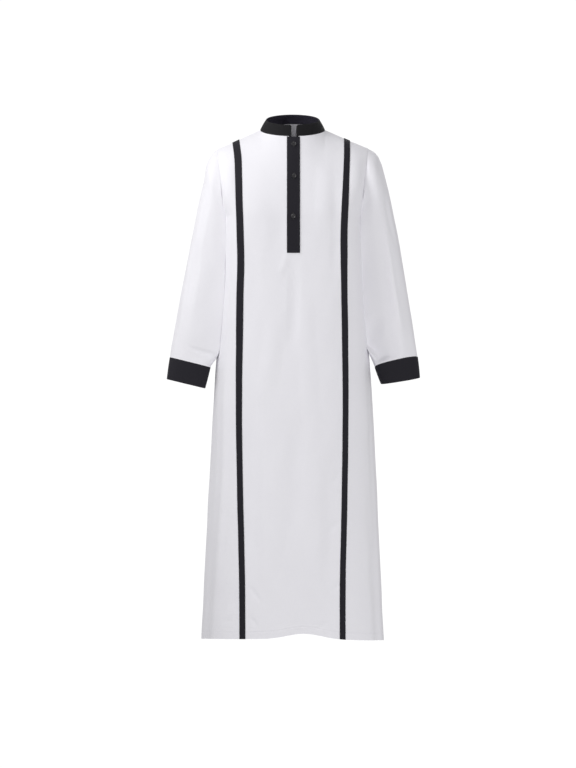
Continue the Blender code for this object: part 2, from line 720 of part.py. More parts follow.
def front_row_at(column, drop):
    """The yoke row of the front whose point has this drop, found by halving."""
    low, high = 0.0, 1.0
    if drop >= CHEST_DROP:
        return 1 + drop - CHEST_DROP
    for _ in range(HALVINGS):
        middle = (low + high) / 2
        if -body_point(-1, column, middle)[2] < drop:
            low = middle
        else:
            high = middle
    return (low + high) / 2


def button(name, x, drop, material):
    """A turned disc with a raised rim, on the placket's face."""
    column = x / NECK_HALF_WIDTH
    row = front_row_at(column, drop)
    here = body_point(-1, column, row)
    right = unit(body_point(-1, column + SMALL_STEP, row) - here)
    down = unit(body_point(-1, column, row + SMALL_STEP) - here)
    outward = unit(np.cross(down, right))
    up = np.cross(right, outward)
    base = here + outward * (SEAM_GAP + PLACKET_WALL + SEAM_GAP)
    mesh = bmesh.new()
    rings = []
    for width, height in BUTTON_PROFILE:
        ring = []
        for k in range(BUTTON_ROUND):
            angle = 2 * math.pi * k / BUTTON_ROUND
            spoke = right * math.cos(angle) + up * math.sin(angle)
            point = base + spoke * width * BUTTON_RADIUS + outward * height * BUTTON_THICKNESS
            ring.append(mesh.verts.new(point))
        rings.append(ring)
    for lower, higher in zip(rings, rings[1:]):
        for k in range(BUTTON_ROUND):
            after = (k + 1) % BUTTON_ROUND
            mesh.faces.new([lower[k], lower[after], higher[after], higher[k]])
    mesh.faces.new(rings[0])
    mesh.faces.new(rings[-1])
    add_object(name, mesh, material)


def main():
    for existing in list(bpy.data.objects):
        bpy.data.objects.remove(existing)
    white = add_material("white cloth", WHITE, 0.75)
    black = add_material("black cloth", BLACK, 0.70)
    plastic = add_material("button plastic", BUTTON_GREY, 0.35)
    front(white)
    back(white)
    collar(black)
    placket(black)
    for side_name in SIDES:
        tape(side_name, black)
        cuff(side_name, sleeve(side_name, white), black)
    for name, x, drop in BUTTONS:
        button(name, x, drop, plastic)


main()
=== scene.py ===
"""The looks of the thobe robe: thin cloth shells on the forms of the solids, with soft creases, hems,
topstitching, buttonholes and sewn buttons, in a plain white studio.

Metres, +Z up. +X is the viewer's right and the front faces -Y. "Drop" is the distance below the high
shoulder points. The surface of the body and of the sleeves is worked out as in the part's source, from the
same kinds of sizes. Some of them are fitted more closely here, by up to 4 mm.
"""

import functools
import math

import bmesh
import bpy
import mathutils
import numpy as np
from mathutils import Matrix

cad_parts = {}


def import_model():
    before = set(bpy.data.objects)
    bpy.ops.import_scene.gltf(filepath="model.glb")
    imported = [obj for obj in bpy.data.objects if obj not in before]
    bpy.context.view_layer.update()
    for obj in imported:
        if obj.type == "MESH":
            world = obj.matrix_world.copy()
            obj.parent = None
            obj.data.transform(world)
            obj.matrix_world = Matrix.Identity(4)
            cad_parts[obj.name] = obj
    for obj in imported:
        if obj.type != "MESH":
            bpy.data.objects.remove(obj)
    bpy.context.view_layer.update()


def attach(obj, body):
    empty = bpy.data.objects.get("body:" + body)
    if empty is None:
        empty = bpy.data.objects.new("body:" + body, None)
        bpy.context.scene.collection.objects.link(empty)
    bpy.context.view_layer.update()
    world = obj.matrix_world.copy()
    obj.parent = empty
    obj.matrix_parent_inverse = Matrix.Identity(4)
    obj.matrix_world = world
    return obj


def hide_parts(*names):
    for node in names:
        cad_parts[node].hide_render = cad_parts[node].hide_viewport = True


# --- Sizes of the garment's form ----------------------------------------------------------------------

NECK_HALF_WIDTH = 0.0887
NECK_HALF_DEPTH = 0.0725
NECK_MIDDLE_Z = -0.0027
NECK_TILT = 0.0256
# The same four sizes at the collar's top: half width, half depth, height of the middle, tilt.
COLLAR_TOP = (0.0727, 0.0575, 0.0262, 0.0211)
NECK_MIDDLE_Y = -0.0025
# The band starts this far above the neckline, stands out this far and bows out in the middle of its height.
COLLAR_LIFT = 0.0005
COLLAR_PROUD = 0.0006
COLLAR_BOW = 0.0010
COLLAR_ENDS_X = (-0.0034, 0.0096)
COLLAR_WALL = 0.0024

SHOULDER_TIP = np.array([0.2107, 0.008, -0.056])
RIGHT_SHOULDER_RISE = 0.003
CHEST_DROP = 0.245
HEM_DROP = 1.400
NECK_SLOPE = math.radians(19)
TIP_SLOPE = math.radians(2)
# How steeply the shoulder seam's line, carried on over the neck's opening, curves up.
NECK_RISE = 2.5
# How strongly the yoke's lines leave the shoulder seam and arrive at the chest line, and their lean there.
TOP_REACH = 0.21
CHEST_REACH = 0.25
CHEST_LEAN = 0.010

# Columns: drop, half width, depth of the front, depth of the back, squareness of the section.
BODY_SECTIONS = (
    (0.245, 0.1905, 0.135, 0.130, 3.8),
    (0.350, 0.1908, 0.137, 0.129, 3.8),
    (0.430, 0.1932, 0.139, 0.130, 3.6),
    (0.500, 0.1977, 0.141, 0.132, 3.4),
    (0.593, 0.2060, 0.144, 0.137, 3.1),
    (0.720, 0.2149, 0.148, 0.144, 2.9),
    (0.909, 0.2257, 0.153, 0.154, 2.5),
    (1.130, 0.2375, 0.159, 0.165, 2.5),
    (1.400, 0.2505, 0.165, 0.175, 2.5),
)

ARMHOLE_FRONT = 0.072
ARMHOLE_BACK = 0.076
ARMHOLE_FULL_BELOW = 0.6
ARMHOLE_FRONT_SCOOP = 0.005
ARMHOLE_BACK_SCOOP = 0.002

HEM_RISE_WITH_DEPTH = 0.105
HEM_ARCH = 0.0145
HEM_ARCH_X = 0.031
HEM_ARCH_WIDTH = 0.065
HEM_ARCH_DEPTH = 0.12
HEM_RIGHT_SINK = 0.004
HEM_SIDE_X = 0.25
BACK_HEM_SINK = 0.002
HEM_BACK_Y = 0.17
HEM_SHAPING_FROM = 1.00

# Columns: angle round the body at the fold's top, the same at the hem, half width in degrees, the drop
# where it starts, depth at the hem. Angle 0 is the front, 90 the viewer's right, 180 the back.
BODY_FOLDS = (
    (2, 8, 24, 1.10, -0.0060),
    (57, 62, 9, 0.78, -0.0055),
    (-60, -63, 8, 0.90, -0.0050),
    (104, 107, 10, 0.52, -0.0100),
    (127, 131, 9, 0.44, -0.0120),
    (152, 150, 11, 0.60, -0.0085),
    (178, 181, 12, 0.50, -0.0110),
    (-154, -151, 10, 0.66, -0.0090),
    (-129, -133, 9, 0.42, -0.0125),
    (-103, -108, 11, 0.56, -0.0090),
)

PLACKET_X = (-0.0155, 0.0198)
SLOT_X = (-0.0100, 0.0160)
SLOT_DROP = 0.340
PLACKET_DROP = 0.3476
# The yoke's row at which the placket starts.
PLACKET_TOP_ROW = 0.004

TAPE_WIDTH = 0.017
# Columns: drop, distance of the left tape's middle from the centre, and of the right one's.
TAPE_PATH = (
    (0.030, 0.1562, 0.1491),
    (0.086, 0.1486, 0.1474),
    (0.140, 0.1462, 0.1443),
    (0.210, 0.1442, 0.1401),
    (0.300, 0.1410, 0.1366),
    (0.361, 0.1396, 0.1367),
    (0.471, 0.1418, 0.1392),
    (0.608, 0.1434, 0.1412),
    (0.770, 0.1445, 0.1421),
    (0.966, 0.1417, 0.1399),
    (1.120, 0.1383, 0.1368),
    (1.240, 0.1358, 0.1342),
    (1.400, 0.1346, 0.1339),
)
# The back's columns 2 and 3 lie on both sides of this distance from the centre.
BACK_GUIDE_X = 0.150

# Columns: share of the sleeve's length; the inner edge's distance from the centre, y and drop; the outer
# edge's distance on the left and on the right, y and drop; half of the depth; squareness.
SLEEVE_SECTIONS = (
    (0.00, 0.1905, 0.000, 0.2450, 0.2107, 0.2107, 0.008, 0.0560, 0.0820, 2.0),
    (0.05, 0.1914, -0.003, 0.2510, 0.2250, 0.2355, 0.008, 0.0695, 0.0822, 2.0),
    (0.11, 0.1914, -0.006, 0.2630, 0.2363, 0.2454, 0.007, 0.0960, 0.0815, 2.1),
    (0.18, 0.1914, -0.010, 0.2810, 0.2426, 0.2550, 0.005, 0.1360, 0.0795, 2.4),
    (0.27, 0.1915, -0.014, 0.3090, 0.2548, 0.2681, 0.002, 0.1920, 0.0765, 2.7),
    (0.38, 0.1920, -0.018, 0.3500, 0.2694, 0.2831, -0.002, 0.2640, 0.0730, 2.8),
    (0.50, 0.1941, -0.022, 0.4050, 0.2845, 0.2971, -0.007, 0.3420, 0.0685, 2.8),
    (0.62, 0.1977, -0.026, 0.4680, 0.2995, 0.3099, -0.013, 0.4200, 0.0625, 2.7),
    (0.74, 0.2027, -0.031, 0.5300, 0.3132, 0.3214, -0.019, 0.4950, 0.0550, 2.5),
    (0.85, 0.2084, -0.037, 0.5850, 0.3244, 0.3314, -0.024, 0.5580, 0.0460, 2.3),
    (0.94, 0.2153, -0.043, 0.6280, 0.3327, 0.3385, -0.028, 0.6020, 0.0355, 2.2),
    (1.00, 0.2248, -0.048, 0.6557, 0.3356, 0.3422, -0.030, 0.6280, 0.0285, 2.2),
)
# The share of its length over which a sleeve leaves the armhole's own shape.
SLEEVE_HEAD = 0.12

# Columns: side, angle round the sleeve (0 outside, 90 in front), half width in degrees, share of the
# length where the fold is deepest, its reach in shares, depth.
SLEEVE_FOLDS = (
    ("right", 118, 26, 0.88, 0.16, -0.0060),
    ("right", 70, 24, 0.80, 0.22, 0.0030),
    ("right", 250, 30, 0.66, 0.14, -0.0060),
    ("left", 62, 26, 0.58, 0.16, -0.0035),
    ("left", 122, 28, 0.86, 0.14, -0.0040),
    ("left", 255, 30, 0.70, 0.15, -0.0060),
)

# The cuff's lower end: inner edge's distance, y and drop, outer edge's distance, y and drop.
CUFF_ENDS = {
    "left": (0.2384, -0.049, 0.7118, 0.3442, -0.032, 0.6864),
    "right": (0.2408, -0.049, 0.6990, 0.3478, -0.032, 0.6818),
}
CUFF_HALF_DEPTH = 0.0265
CUFF_WALL = 0.0020
# How much higher than its middle the front of the sleeve's last ring lies, and that of the cuff's.
RING_TILTS = {"left": (0.001, 0.0), "right": (0.008, -0.003)}
RING_TILT_FROM = 0.75
CUFF_LIFT = 0.0005
CUFF_PROUD = 0.0004

BUTTON_RADIUS = 0.00635
BUTTON_THICKNESS = 0.0024
SIDES = {"left": -1, "right": 1}

# --- Sizes of what is added here ----------------------------------------------------------------------

CLOTH = 0.0008
# Edges of this angle or more are drawn sharp.
CLOTH_SHARP = math.radians(62)
BUTTON_SHARP = math.radians(38)
# A rolled edge: the share of the thickness that is left at the very edge, and the roll's width in walls.
EDGE_SHARE = 0.3
EDGE_ROLL = 0.6
# What touching pieces keep between them.
SEAM_GAP = 0.0003
# Less than any distance between two points of a grid.
A_HAIR = 1e-6

# What each piece was cut to before it was sewn: width, length and, where the cut isn't a rectangle, area.
CUT_FRONT = ((0.66, 1.47), 0.80)
CUT_BACK = ((0.68, 1.47), 0.82)
CUT_SLEEVE = {"left": ((0.47, 0.60), 0.196), "right": ((0.47, 0.60), 0.207)}
CUT_CUFF = {"left": (0.262, 0.0625), "right": (0.262, 0.0560)}
CUT_COLLAR = (0.455, 0.034)
CUT_TAPE = (TAPE_WIDTH, 1.50)
CUT_PLACKET = (0.0353, 0.325)
CUT_UNDER = (0.0254, 0.320)

# Cloth keeps its plain form near the seams that hold it, and creases come in over this distance.
SEAM_CALM = 0.05
FAR_FROM_SEAMS = 0.12
# How many points where it is held are read on each armhole seam and along the top of the front and back.
HELD_ON_ARMHOLE = 90
HELD_ON_TOP = 161
# A panel dips by this much, over this distance, towards the edge at which it is sewn in.
SEAM_ROLL = 0.0009
SEAM_ROLL_REACH = 0.004
# Sewing ripples the cloth this far beside a seam, and the ripples fade by this power.
PUCKER_REACH = 0.016
PUCKER_FADE = 1.5
# About how wide the grid's columns are in metres, beside a tape and beside the side seam.
TAPE_COLUMN = 0.055
OUTER_COLUMN = 0.11
# The unevenness of worn cloth. Columns of the waves: half of the length across and down, phase.
UNEVEN_WAVES = ((0.031, 0.083, 0.4), (-0.047, 0.061, 1.9), (0.072, 0.147, 3.1), (0.119, -0.093, 5.0))
UNEVEN_HEIGHT = 0.00016
# How far the waves move on across for each metre of depth, and for each degree round a sleeve.
UNEVEN_WITH_DEPTH = 0.7
SLEEVE_DEGREE = 0.0012
# A crease fades in and out over this share of its length.
CREASE_FADE = 0.42

# The hem is doubled up to this height. A groove runs along its stitches.
HEM_DEPTH = 0.019
HEM_CLOTH = 0.0013
HEM_GROOVE = 0.0004
HEM_GROOVE_REACH = 0.0024
# Heights above the hem's edge of the rows in the hem.
HEM_ROWS = (0.0190, 0.0178, 0.0165, 0.0140, 0.0100, 0.0060, 0.0030, 0.0012, 0.0004, 0.0)

# The rows and columns of the grids as `spread` reads them: places, with the counts of steps between them.
# The yoke's follow its first row.
YOKE_ROWS = (3, 0.012, 2, 0.03, 46, 1)
SKIRT_DROPS = (CHEST_DROP, 212, HEM_DROP - 0.026, 5, HEM_DROP - HEM_DEPTH - 0.0015)
OUTER_COLUMNS = (1, 15, 1.94, 2, 2, 1, 2.08, 3, 2.92, 1, 3, 2, 3.05, 26, 3.97, 2, 4)
SLEEVE_ROWS = (0, 3, 0.006, 2, 0.015, 88, 0.985, 2, 1)
SLEEVE_COLUMNS = 128
# The last row keeps at least this distance from the one above it.
LEAST_ROW = 0.0004
# The steps round a point, in columns and in rows, from which its normal is read.
FINE_STEP = 0.004
# A section's outline is measured on this many points, packed by this power towards the side seam.
WRAP_POINTS = 160
WRAP_PACKING = 1.4
# How often the search for a line's start at the neckline is halved.
HALVINGS = 30

# The stitches beside a side seam: how many columns in from it, and their first row.
SIDE_STITCH_COLUMN = 2
SIDE_STITCH_ROW = 4
# How far the neckline's edge is tucked up into the collar.
NECK_TUCK = 0.0014

TAPE_LIFT = 0.0004
TAPE_CLOTH = 0.0009
# The yoke's row at which a tape starts.
TAPE_TOP_ROW = 0.0015
# Columns: drop, and how wide the left tape and the right one look there, as shares of TAPE_WIDTH.
TAPE_SPREAD = (
    (0.030, 1.18, 0.96),
    (0.180, 1.10, 0.98),
    (0.300, 1.12, 0.98),
    (0.560, 1.12, 1.00),
    (0.700, 0.99, 0.93),
    (0.900, 0.94, 0.92),
    (1.400, 0.93, 0.92),
)
# Shares of the tape's width, from its edge in.
TAPE_COLUMNS = (0.0, 0.012, 0.03, 0.06, 0.10, 0.25)
TAPE_STITCH_COLUMN = 4

PLACKET_LIFT = 0.0003
PLACKET_CLOTH = 0.0015
# Distances in from the placket's edges.
PLACKET_EDGE = (0.0, 0.0002, 0.0006, 0.0012, 0.0022, 0.0050)

# The sleeve's creases come in over these shares of its length at its top and at its lower end.
SLEEVE_CALM_TOP = 0.03
SLEEVE_CALM_LOW = 0.04
# How far the seam allowance reaches in from the armhole seam.
ALLOWANCE = 0.0016

# Shares of the cuff's length, from its edge in.
CUFF_ROWS = (0.0, 0.006, 0.018, 0.035)
# How far a cuff overlaps the sleeve's end, and how far its face stands out from its solid's.
CUFF_OVERLAP = 0.0014
CUFF_OUT = 0.0005
# Its slight wave all round: height, and where round the cuff it starts.
CUFF_WAVE = 0.0006
CUFF_WAVE_TURN = math.radians(40)

COLLAR_HEIGHT = 0.034
COLLAR_CORNER = 0.005
# The band's slight wave: height, count of waves round the neck and phase.
COLLAR_WAVE = (0.0004, 5, 0.8)
# Shares by which the band's colour is raised over that of the other black pieces, outside and inside.
# Outside it is darker. Inside it is painted lighter: painted light standing in for the light that reaches
# into the collar.
COLLAR_PAINTED_LIGHT = (-0.75, 2.2)
# Shares of the collar's height and of its length, from its edges in.
COLLAR_EDGE = (0.0, 0.006, 0.018, 0.035, 0.065)
COLLAR_END_TURN = (0.0, 0.0006, 0.0016, 0.0030, 0.0050)

BUTTON_ROUND = 64
# The turned outline from the back round the rim into the dish: shares of the radius and of the thickness.
BUTTON_PROFILE = (
    (0.62, 0.06),
    (0.88, 0.00),
    (0.96, 0.10),
    (1.00, 0.30),
    (1.00, 0.66),
    (0.985, 0.84),
    (0.945, 0.96),
    (0.89, 1.00),
    (0.83, 0.97),
    (0.77, 0.84),
    (0.71, 0.64),
    (0.65, 0.52),
    (0.40, 0.46),
    (0.20, 0.455),
)
BUTTON_HOLE = 0.00075
BUTTON_HOLE_OFF = 0.00135
# Where the drill starts and ends, from the button's back.
BUTTON_DRILL = (-0.002, 0.006)
# Length and radius of the threads through the button, of a buttonhole's stitches and of those across its
# ends.
BUTTON_BAR = (0.0031, 0.00021)
BUTTONHOLE_STITCH = (0.0013, 0.00026)
BUTTONHOLE_END = (0.0030, 0.00026)
# Distance between the strands of a bar through the button, and how high they lie over the dish.
BUTTON_STRAND = 0.00026
BUTTON_BAR_LIFT = 0.0001
BUTTONHOLE_LENGTH = 0.0165
BUTTONHOLE_HALF = 0.00085
BUTTONHOLE_PITCH = 0.00048
# Distances of the three threads at a buttonhole's end from its last stitch.
BUTTONHOLE_END_AT = (0.0005, 0.0009, 0.0013)
# Columns: name, distance from the centre, drop.
BUTTONS = (
    ("button_1", 0.0030, 0.0503),
    ("button_2", 0.0036, 0.1389),
    ("button_3", 0.0014, 0.2482),
)

STITCH_PITCH = 0.0032
STITCH_LENGTH = 0.0024
STITCH_RADIUS = 0.00022
STITCH_SIDES = 5

# Columns of the front's creases: x at the top and at the bottom, sideways bow, half width, drop at the top
# and at the bottom, depth. A positive depth is a ridge.
FRONT_CREASES = (
    # Under the placket and beside it, where its weight pulls the cloth in.
    (0.0040, -0.0060, 0.004, 0.022, 0.340, 0.640, -0.0030),
    (-0.0130, -0.0400, 0.004, 0.016, 0.336, 0.420, 0.0016),
    (0.0300, 0.0600, -0.006, 0.030, 0.350, 0.900, 0.0022),
    (-0.0480, -0.0780, 0.006, 0.034, 0.460, 0.780, 0.0026),
    # Chest, either side of the placket.
    (0.0850, 0.0800, 0.004, 0.030, 0.060, 0.330, 0.0018),
    (0.1230, 0.1160, 0.006, 0.026, 0.130, 0.420, -0.0030),
    (-0.0620, -0.0400, 0.008, 0.034, 0.170, 0.360, -0.0018),
    (-0.1120, -0.1060, 0.004, 0.024, 0.280, 0.520, -0.0014),
    # A soft ridge between the tape and the armhole on the right, and a slight hollow on the left.
    (0.1480, 0.1520, 0.000, 0.046, 0.090, 0.480, 0.0070),
    (-0.1760, -0.1800, 0.002, 0.018, 0.130, 0.520, -0.0020),
    # Long folds of the skirt.
    (-0.1160, -0.1080, 0.005, 0.030, 0.560, 1.360, -0.0042),
    (0.0100, -0.0020, 0.004, 0.034, 0.740, 1.180, -0.0034),
    (0.1080, 0.1020, -0.006, 0.030, 0.880, 1.380, -0.0024),
    (-0.0560, -0.0640, 0.006, 0.040, 0.800, 1.320, 0.0028),
    (0.0560, 0.0580, 0.004, 0.036, 0.760, 1.340, 0.0020),
    # Short drag lines that run to the tapes and above the hem.
    (-0.1240, -0.0860, 0.003, 0.012, 1.235, 1.290, -0.0014),
    (-0.1160, -0.0980, 0.002, 0.010, 1.320, 1.352, -0.0014),
    (0.1280, 0.0840, 0.003, 0.014, 1.060, 1.110, -0.0013),
    (0.1290, 0.1010, 0.002, 0.012, 0.930, 0.975, -0.0010),
    (0.1240, 0.1020, 0.003, 0.011, 1.225, 1.262, -0.0013),
    (0.0900, 0.0620, 0.002, 0.014, 1.335, 1.362, -0.0011),
    (-0.1700, -0.1880, 0.002, 0.011, 1.325, 1.352, -0.0013),
    (-0.1500, -0.1700, 0.002, 0.014, 1.250, 1.310, -0.0012),
)

# Columns of the creases all round the body: angle at the top and at the bottom, sideways bow, half width,
# all in degrees, drop at the top and at the bottom, depth.
ROUND_CREASES = (
    (-51, -53, 1.5, 5.0, 0.52, 1.36, 0.0026),
    (-68, -70, 2.0, 5.5, 0.46, 1.30, -0.0030),
    (62, 66, 1.5, 6.0, 0.55, 1.36, -0.0024),
    (78, 80, 2.0, 6.0, 0.42, 1.20, 0.0024),
    (105, 107, 3.0, 5.5, 0.34, 0.95, -0.0034),
    (-105, -106, 2.0, 5.0, 0.36, 1.05, -0.0030),
    (116, 119, 3.0, 5.5, 0.36, 1.30, 0.0030),
    (141, 140, -2.0, 5.0, 0.30, 1.20, -0.0030),
    (165, 166, 2.0, 6.0, 0.34, 1.34, 0.0028),
    (-141, -143, 3.0, 5.5, 0.38, 1.28, 0.0030),
    (-166, -168, -2.0, 6.5, 0.28, 1.05, -0.0032),
    (-117, -118, 2.0, 5.0, 0.30, 1.10, 0.0026),
    (128, 112, 2.0, 4.5, 0.24, 0.36, -0.0034),
    (-126, -110, -2.0, 4.5, 0.23, 0.34, -0.0036),
    (150, 128, 3.0, 5.0, 0.10, 0.27, -0.0024),
    (-148, -126, -3.0, 5.0, 0.11, 0.25, -0.0026),
    (172, 186, 2.0, 8.0, 0.07, 0.30, -0.0016),
)

# Columns of the sleeves' creases: side, angle at the top and at the bottom, bow, half width, all in
# degrees, share of the length at the top and at the bottom, depth.
SLEEVE_CREASES = (
    ("left", 140, 140, 0, 30, -0.30, 0.50, 0.0040),
    ("left", 66, 58, 6, 20, 0.10, 0.52, -0.0020),
    ("left", 100, 128, 4, 15, 0.26, 0.62, -0.0036),
    ("left", 92, 84, -4, 18, 0.40, 0.90, 0.0026),
    ("left", 30, 44, 5, 16, 0.34, 0.96, 0.0018),
    ("left", 74, 132, 4, 10, 0.90, 0.97, -0.0030),
    ("left", 222, 204, 6, 14, 0.30, 0.60, -0.0032),
    ("left", 300, 326, 8, 14, 0.42, 0.64, -0.0034),
    ("left", 320, 286, -6, 14, 0.58, 0.80, -0.0034),
    ("left", 262, 288, 4, 13, 0.78, 0.95, 0.0032),
    ("left", 236, 214, 6, 14, 0.10, 0.42, -0.0034),
    ("right", 140, 140, 0, 30, -0.30, 0.40, 0.0040),
    ("right", 54, 46, 6, 15, 0.16, 0.50, -0.0030),
    ("right", 78, 62, 5, 13, 0.30, 0.94, 0.0034),
    ("right", 100, 118, 4, 16, 0.24, 0.74, -0.0034),
    ("right", 96, 116, 2, 11, 0.70, 0.98, -0.0042),
    ("right", 118, 114, 0, 46, 0.24, 1.34, -0.0200),
    ("right", 70, 74, 0, 34, -0.10, 0.34, 0.0060),
    ("right", 138, 150, 6, 12, 0.60, 0.96, 0.0030),
    ("right", 24, 16, 4, 12, 0.24, 0.56, -0.0020),
    ("right", 220, 202, 6, 14, 0.28, 0.58, -0.0030),
    ("right", 298, 328, 8, 14, 0.38, 0.62, -0.0036),
    ("right", 322, 284, -6, 13, 0.60, 0.80, -0.0032),
    ("right", 258, 282, 4, 14, 0.76, 0.95, 0.0034),
    ("right", 240, 216, 6, 14, 0.08, 0.40, -0.0032),
)

# Under the arm, the front of a sleeve's inner side lies against the body: between these degrees round the
# sleeve, from this drop, and down to this share of its length on each side. It comes in over the fades.
PRESS_FROM = 92
PRESS_TO = 200
PRESS_FADE = 26
PRESS_TOP = 0.155
PRESS_TOP_FADE = 0.05
PRESS_LOW = {-1: 1.0, 1: 0.97}
PRESS_LOW_FADE = 0.09
# How far it is pressed into the body's cloth line.
PRESS_SINK = 0.0004
# The ring's inner front corner is squarer by this much, from this share of the length on.
PRESS_SQUARE = 1.0
PRESS_SQUARE_BY = 0.1
# The part of the body's side that a sleeve can meet: drops below the chest line, and depths.
FLANK_DROPS = np.linspace(0, 0.46, 57)
FLANK_DEPTHS = np.linspace(0, 0.11, 45)

CAMERA_PLACE = (-0.01265, -6.0, -0.70)
LENS = 102.27
SENSOR = 36.0

FLOOR_Z = -1.56
STUDIO_RADIUS = 22.0
STUDIO_WHITE = 1.05
WORLD_LIGHT = 0.5
LIGHT_AIM = (0, 0, -0.62)
# Columns: name, place, size, watts.
LIGHTS = (
    ("key", (-1.8, -1.0, 0.6), 0.8, 16),
    ("top", (-1.2, -0.4, 1.2), 0.8, 11),
    ("fill", (2.2, -4.4, -1.8), 1.6, 77),
    ("rear", (0.6, 3.6, 1.2), 2.6, 35),
)

# --- Helpers ------------------------------------------------------------------------------------------


def hermite(start, leaving, end, arriving, t):
    """A cubic from `start` to `end` with the given directions."""
    return (
        start * (1 + 2 * t) * (1 - t) ** 2
        + leaving * t * (1 - t) ** 2
        + end * t**2 * (3 - 2 * t)
        - arriving * t**2 * (1 - t)
    )


def curve(table):
    """A table's first column, its other columns, and their slopes."""
    rows = np.array(table, float)
    return rows[:, 0], rows[:, 1:], np.gradient(rows[:, 1:], rows[:, 0], axis=0)


BODY = curve(BODY_SECTIONS)
TAPES = curve(TAPE_PATH)
SLEEVES = curve(SLEEVE_SECTIONS)


def read_curve(smooth, keys):
    """The table's other columns at `keys`, one array each, on smooth curves through its rows."""
    knots, values, slopes = smooth
    keys = np.clip(keys, knots[0], knots[-1])
    i = np.clip(np.searchsorted(knots, keys) - 1, 0, len(knots) - 2)
    step = (knots[i + 1] - knots[i])[..., None]
    t = (keys - knots[i])[..., None] / step
    found = hermite(values[i], slopes[i] * step, values[i + 1], slopes[i + 1] * step, t)
    return np.moveaxis(found, -1, 0)


def ease(t):
    """0 to 1 with level ends."""
    t = np.clip(t, 0, 1)
    return t * t * (3 - 2 * t)


def bell(share):
    """1 in the middle of a fold, 0 where `share` of its half width reaches 1."""
    return np.clip(1 - share * share, 0, None) ** 2


def unit(vectors):
    return vectors / np.linalg.norm(vectors, axis=-1, keepdims=True)


def power(value, exponent):
    return np.sign(value) * np.abs(value) ** exponent


def blend(start, end, share):
    """From start (share 0) to end (share 1)."""
    return start + (end - start) * share


def within_half_turn(degrees):
    """The same angles from -180 to 180."""
    return (degrees + 180) % 360 - 180


def running(steps):
    """Distances from the first of some points, from the steps between them."""
    return np.concatenate([[0], np.cumsum(steps)])


def spread(*stops):
    """Numbers from the first stop to the last; between stops are the counts of steps."""
    numbers = [np.array([stops[0]])]
    for start, count, end in zip(stops[:-2:2], stops[1:-1:2], stops[2::2]):
        numbers.append(np.linspace(start, end, count + 1)[1:])
    return np.concatenate(numbers)


# --- The body's surface -------------------------------------------------------------------------------


def section_depth(facing, drop, x):
    """y of the body's section at this x. `facing` is -1 for the front and 1 for the back."""
    half_width, front, back, square = read_curve(BODY, drop)
    share = np.minimum(np.abs(x) / half_width, 1)
    return facing * (front if facing < 0 else back) * (1 - share**square) ** (1 / square)


def section_wrap(facing, side, drop, x_from, shares):
    """Points these shares of the way round the section, from x_from to the side seam."""
    half_width, front, back, square = read_curve(BODY, drop)
    depth = front if facing < 0 else back
    start = math.acos(min(x_from / half_width, 1) ** (square / 2))
    angles = start * (1 - np.linspace(0, 1, WRAP_POINTS)) ** WRAP_PACKING
    xs = half_width * np.cos(angles) ** (2 / square)
    ys = depth * np.sin(angles) ** (2 / square)
    lengths = running(np.hypot(np.diff(xs), np.diff(ys)))
    at = shares * lengths[-1]
    x = side * np.interp(at, lengths, xs)
    y = facing * np.interp(at, lengths, ys)
    return np.stack([x, y, np.full_like(x, -drop)], axis=-1)


def body_angle(points):
    """Degrees round the body: 0 at the front, 90 at the viewer's right, 180 at the back."""
    half_width, front, back, _ = read_curve(BODY, -points[..., 2])
    depth = np.where(points[..., 1] < 0, front, back)
    return np.degrees(np.arctan2(points[..., 0] / half_width, -points[..., 1] / depth))


def folded(points):
    """The points moved in or out by the body's folds, along the section's own normal."""
    drop = -points[..., 2]
    half_width, front, back, square = read_curve(BODY, drop)
    depth = np.where(points[..., 1] < 0, front, back)
    angle = body_angle(points)
    offset = np.zeros_like(angle)
    for top_angle, hem_angle, half_angle, start, fold_depth in BODY_FOLDS:
        grown = (drop - start) / (HEM_DROP - start)
        turn = within_half_turn(angle - blend(top_angle, hem_angle, grown))
        offset += fold_depth * ease(grown) * bell(turn / half_angle)
    outward = np.stack(
        [
            power(points[..., 0] / half_width, square - 1) / half_width,
            power(points[..., 1] / depth, square - 1) / depth,
            np.zeros_like(angle),
        ],
        axis=-1,
    )
    return points + unit(outward) * offset[..., None]


def guide_edge(facing, side, drop, outer):
    """The two lines that columns 2 and 3 follow: the tape's edges in front, a straight pair behind."""
    left, right = read_curve(TAPES, drop)
    middle = np.full_like(left, BACK_GUIDE_X) if facing > 0 else (right if side > 0 else left)
    return middle + (TAPE_WIDTH / 2 if outer else -TAPE_WIDTH / 2)


def column_x(facing, side, columns, drop):
    """x of columns up to 3 at these drops."""
    inner = guide_edge(facing, side, drop, False)
    on_neck = NECK_HALF_WIDTH * columns
    beyond = blend(NECK_HALF_WIDTH, inner, columns - 1)
    on_tape = inner + TAPE_WIDTH * (columns - 2)
    return side * np.where(columns <= 1, on_neck, np.where(columns <= 2, beyond, on_tape))


def shoulder_tip(side):
    """The outer end of the shoulder seam, as if on the right side; the right one sits a little higher."""
    return SHOULDER_TIP + np.array([0, 0, RIGHT_SHOULDER_RISE if side > 0 else 0])


def ridge(x):
    """The shoulder seam's y and z at this x, carried on over the neck's opening, and the slope with which
    the cloth crosses it, up towards the back."""
    distance = np.abs(x)
    share = (distance - NECK_HALF_WIDTH) / (SHOULDER_TIP[0] - NECK_HALF_WIDTH)
    inside = np.maximum(NECK_HALF_WIDTH - distance, 0)
    beyond = np.maximum(share, 0)
    y = blend(NECK_MIDDLE_Y, SHOULDER_TIP[1], beyond)
    z = blend(NECK_MIDDLE_Z, SHOULDER_TIP[2], share) + NECK_RISE * inside**2
    z = z + np.where(x > 0, beyond * RIGHT_SHOULDER_RISE, 0)
    return y, z, blend(NECK_SLOPE, TIP_SLOPE, ease(share))


